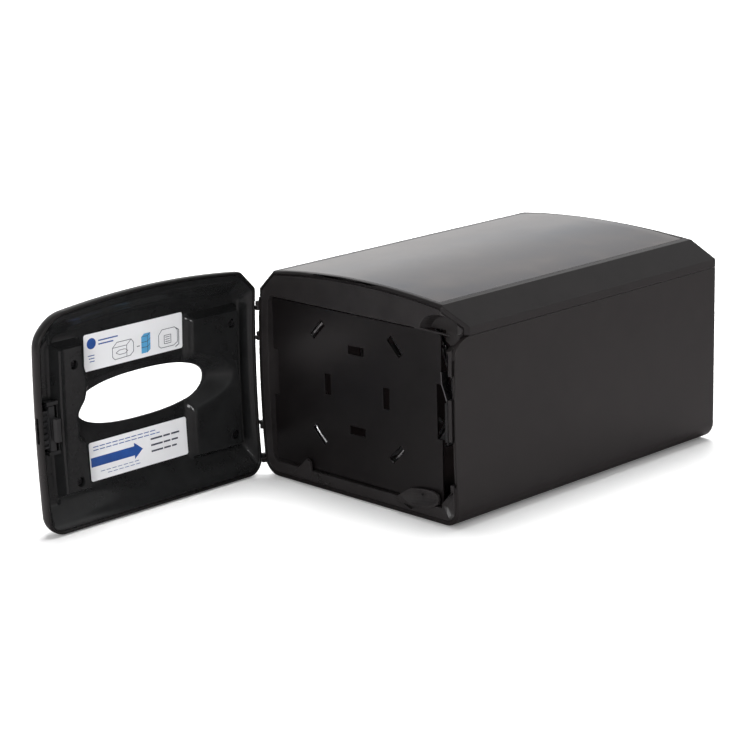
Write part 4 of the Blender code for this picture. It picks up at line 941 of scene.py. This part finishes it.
# ------------------------------------------------------------------- springs
def coil(name, radius, wire, y0, y1, turns, per_turn, up, side, flat=0.9, axis="y", ring=12):
    """Round wire coil as a closed tube; points follow the wire's own path."""
    n = int(turns * per_turn)
    pe = 2 * wire * 1.04
    path = []
    for i in range(n + 1):
        t = i / per_turn
        if t <= flat:
            y = y0 + wire + pe * t
        elif t >= turns - flat:
            y = y1 - wire - pe * (turns - t)
        else:
            a, b = y0 + wire + pe * flat, y1 - wire - pe * flat
            y = a + (b - a) * (t - flat) / (turns - 2 * flat)
        ang = math.pi / 2 + 2 * math.pi * t
        s, u = side + radius * math.cos(ang), up + radius * math.sin(ang)
        path.append(Vector((s, y, u) if axis == "y" else (y, s, u)))
    bm = bmesh.new()
    rings = []
    c_axis = Vector((0, 1, 0)) if axis == "y" else Vector((1, 0, 0))
    for i, p in enumerate(path):
        d = (path[min(i + 1, n)] - path[max(i - 1, 0)]).normalized()
        e1 = d.cross(c_axis).normalized()
        e2 = d.cross(e1).normalized()
        rings.append([bm.verts.new(p + (e1 * math.cos(2 * math.pi * k / ring) + e2 * math.sin(2 * math.pi * k / ring)) * wire)
                      for k in range(ring)])
    for a, b in zip(rings, rings[1:]):
        for k in range(ring):
            j = (k + 1) % ring
            bm.faces.new((a[k], a[j], b[j], b[k]))
    bm.faces.new(rings[0])
    bm.faces.new(rings[-1])
    return bm


def make_springs():
    front, rear = YF + 1.0 + 1.5 + 0.4, YR - 8.0
    o = obj_from("pusher_coil", coil("pusher_coil", SPRING_R, SPRING_WIRE, front, rear, SPRING_TURNS, 72, COIL_Z, COIL_X),
                 M_WIRE, 50, "body")
    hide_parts("pusher_spring")
    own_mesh(o)
    b = -bow_at(LATCH_Z) + AXIS_FRONT - RIM_GAP
    bm = coil("latch_coil", 1.7, 0.28, 177.7 + AXIS_OUT, 183.0 + AXIS_OUT, 5, 32, LATCH_Z, b - 4.6, axis="x", ring=8)
    to_world(bm)
    o = obj_from("latch_coil", bm, M_WIRE, 50, "door")
    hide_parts("latch_spring")
    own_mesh(o)


M_BLUE = plastic("label_blue_ink", (0.012, 0.075, 0.33), 0.45, grain=0.2)
M_SKY = plastic("label_sky_ink", (0.10, 0.38, 0.66), 0.45, grain=0.2)
M_INK = plastic("label_dark_ink", (0.05, 0.055, 0.08), 0.45, grain=0.2)

make_inner_panel()
make_door_shell()
make_labels()
make_window()
for name, o in NODES.items():
    if name not in ("door_shell", "door_inner_panel", "instruction_label", "data_label", "display_window",
                    "pusher_spring", "latch_spring", "front_bezel"):
        weld_and_shade(o, round_cover_front if name == "top_cover" else None)
make_springs()


# ---------------------------------------------------------------------- stage
def make_floor():
    bm = bmesh.new()
    bmesh.ops.create_grid(bm, x_segments=4, y_segments=4, size=12.0)
    me = bpy.data.meshes.new("studio_floor")
    bm.to_mesh(me)
    bm.free()
    o = bpy.data.objects.new("studio_floor", me)
    S.collection.objects.link(o)
    lo = Vector(CAD_BOX[0])
    o.location = (0, 0, lo.z - 0.0002)
    k = Mat("studio_floor")
    k.link(k.ramp(k.noise(1.2, 2.0), [(0.3, (0.95, 0.95, 0.95)), (0.7, (0.97, 0.97, 0.97))]), k.b.inputs["Base Color"])
    k.b.inputs["Roughness"].default_value = 0.9
    k.b.inputs["Specular IOR Level"].default_value = 0.0
    # white paper that glows a little for the camera and is dimmer in reflections, with a painted shadow that darkens
    # it in reflections near the object
    lp = k.node("ShaderNodeLightPath")
    glow = k.node("ShaderNodeEmission")
    far = k.node("ShaderNodeVectorMath")
    far.operation = "DISTANCE"
    k.link(k.co.outputs["Object"], far.inputs[0])
    far.inputs[1].default_value = (0.0, -0.05, 0.0)
    k.link(k.remap(far.outputs["Value"], 0.10, 1.0, 0.42, 1.6), glow.inputs["Strength"])
    near = k.node("ShaderNodeVectorMath")
    near.operation = "DISTANCE"
    k.link(k.co.outputs["Object"], near.inputs[0])
    near.inputs[1].default_value = (-0.075, -0.17, 0.0)
    add = k.node("ShaderNodeAddShader")
    k.link(k.b.outputs["BSDF"], add.inputs[0])
    k.link(glow.outputs["Emission"], add.inputs[1])
    # painted shadow: the floor seen in reflections is darker and slightly warm near the object, lighter further out
    dim = k.node("ShaderNodeBsdfDiffuse")
    k.link(k.ramp(k.remap(near.outputs["Value"], 0.0, 1.0, 0.03, 0.20), [(0.0, (0.12, 0.114, 0.115)), (1.0, (0.335, 0.312, 0.316))]),
           dim.inputs["Color"])
    m1 = k.node("ShaderNodeMixShader")
    k.link(lp.outputs["Is Glossy Ray"], m1.inputs["Fac"])
    k.link(k.b.outputs["BSDF"], m1.inputs[1])
    k.link(dim.outputs["BSDF"], m1.inputs[2])
    m2 = k.node("ShaderNodeMixShader")
    k.link(lp.outputs["Is Camera Ray"], m2.inputs["Fac"])
    k.link(m1.outputs["Shader"], m2.inputs[1])
    k.link(add.outputs["Shader"], m2.inputs[2])
    out = [n for n in k.t.nodes if n.type == "OUTPUT_MATERIAL"][0]
    k.link(m2.outputs["Shader"], out.inputs["Surface"])
    me.materials.append(k.m)


make_floor()


def area(name, loc, target, size, power, size_y=None):
    l = bpy.data.lights.new(name, "AREA")
    l.energy = power
    l.shape = "RECTANGLE"
    l.size = size
    l.size_y = size_y or size
    o = bpy.data.objects.new(name, l)
    o.location = loc
    o.rotation_euler = (Vector(target) - Vector(loc)).to_track_quat("-Z", "Y").to_euler()
    S.collection.objects.link(o)
    return o


top = area("soft_top", (-0.25, 0.25, 2.3), (0, -0.05, 0.05), 1.3, 62)
back = area("soft_back", (-1.2, 1.5, 1.7), (0, 0, 0.08), 1.0, 26)
area("soft_front", (0.60, -1.40, 0.60), (-0.03, -0.16, 0.07), 0.5, 8.5)
top.visible_glossy = False
back.visible_glossy = False
# light that finds its way into the chamber
inner = area("chamber_fill", (0.035, -0.02, 0.098), (-0.09, -0.02, 0.07), 0.05, 0.14, 0.05)
inner.visible_glossy = False
inner.visible_camera = False

def make_world():
    """White to the camera; for reflections bright near the horizon, dim overhead."""
    w = bpy.data.worlds.new("studio")
    S.world = w
    w.use_nodes = True
    t = w.node_tree
    bg = t.nodes["Background"]
    co = t.nodes.new("ShaderNodeTexCoord")
    sep = t.nodes.new("ShaderNodeSeparateXYZ")
    t.links.new(co.outputs["Generated"], sep.inputs["Vector"])
    ramp = t.nodes.new("ShaderNodeValToRGB")
    e = ramp.color_ramp.elements
    for p, c in ((0.0, 0.76), (0.10, 0.82), (0.17, 0.96), (0.26, 0.77), (0.32, 0.74), (0.42, 0.56), (0.62, 0.50), (1.0, 0.42)):
        el = e.new(p) if p not in (0.0, 1.0) else e[0 if p == 0.0 else len(e) - 1]
        el.color = (c, c, c, 1)
    t.links.new(sep.outputs["Z"], ramp.inputs["Fac"])
    lp = t.nodes.new("ShaderNodeLightPath")
    mix = t.nodes.new("ShaderNodeMix")
    mix.data_type = "RGBA"
    col = [i for i in mix.inputs if i.type == "RGBA"]
    # the side of the room in front of the object is dimmer
    front = t.nodes.new("ShaderNodeMapRange")
    front.inputs["From Min"].default_value = -0.15
    front.inputs["From Max"].default_value = 0.35
    front.inputs["To Min"].default_value = 0.42
    front.inputs["To Max"].default_value = 1.0
    t.links.new(sep.outputs["Y"], front.inputs["Value"])
    mul = t.nodes.new("ShaderNodeVectorMath")
    mul.operation = "SCALE"
    t.links.new(ramp.outputs["Color"], mul.inputs[0])
    t.links.new(front.outputs["Result"], mul.inputs["Scale"])
    t.links.new(mul.outputs["Vector"], col[0])
    col[1].default_value = (1.0, 1.0, 1.0, 1)
    t.links.new(lp.outputs["Is Camera Ray"], mix.inputs["Factor"])
    out = [o for o in mix.outputs if o.type == "RGBA"][0]
    t.links.new(out, bg.inputs["Color"])
    bg.inputs["Strength"].default_value = 1.0


make_world()
S.view_settings.view_transform = "Standard"
S.view_settings.look = "None"


# --------------------------------------------------------------------- camera
def make_camera():
    yaw, pitch, roll = (math.radians(a) for a in (45.6, 15.25, -1.48))
    fwd = Vector((-math.sin(yaw) * math.cos(pitch), math.cos(yaw) * math.cos(pitch), -math.sin(pitch)))
    right = Vector((math.cos(yaw), math.sin(yaw), 0))
    up = right.cross(fwd)
    r = right * math.cos(roll) + up * math.sin(roll)
    u = -right * math.sin(roll) + up * math.cos(roll)
    cam = bpy.data.cameras.new("camera")
    cam.sensor_width = 36.0
    cam.lens = 2355.4 / 750.0 * 36.0
    cam.clip_end = 50.0
    o = bpy.data.objects.new("camera", cam)
    m = Matrix((r, u, -fwd)).transposed().to_4x4()
    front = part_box("housing_shell")[0].y if hasattr(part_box("housing_shell")[0], "y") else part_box("housing_shell")[0][1]
    m.translation = Vector((1.13017, -1.08851 - 0.13875, 0.51887))
    o.matrix_world = m
    S.collection.objects.link(o)
    S.camera = o


make_camera()
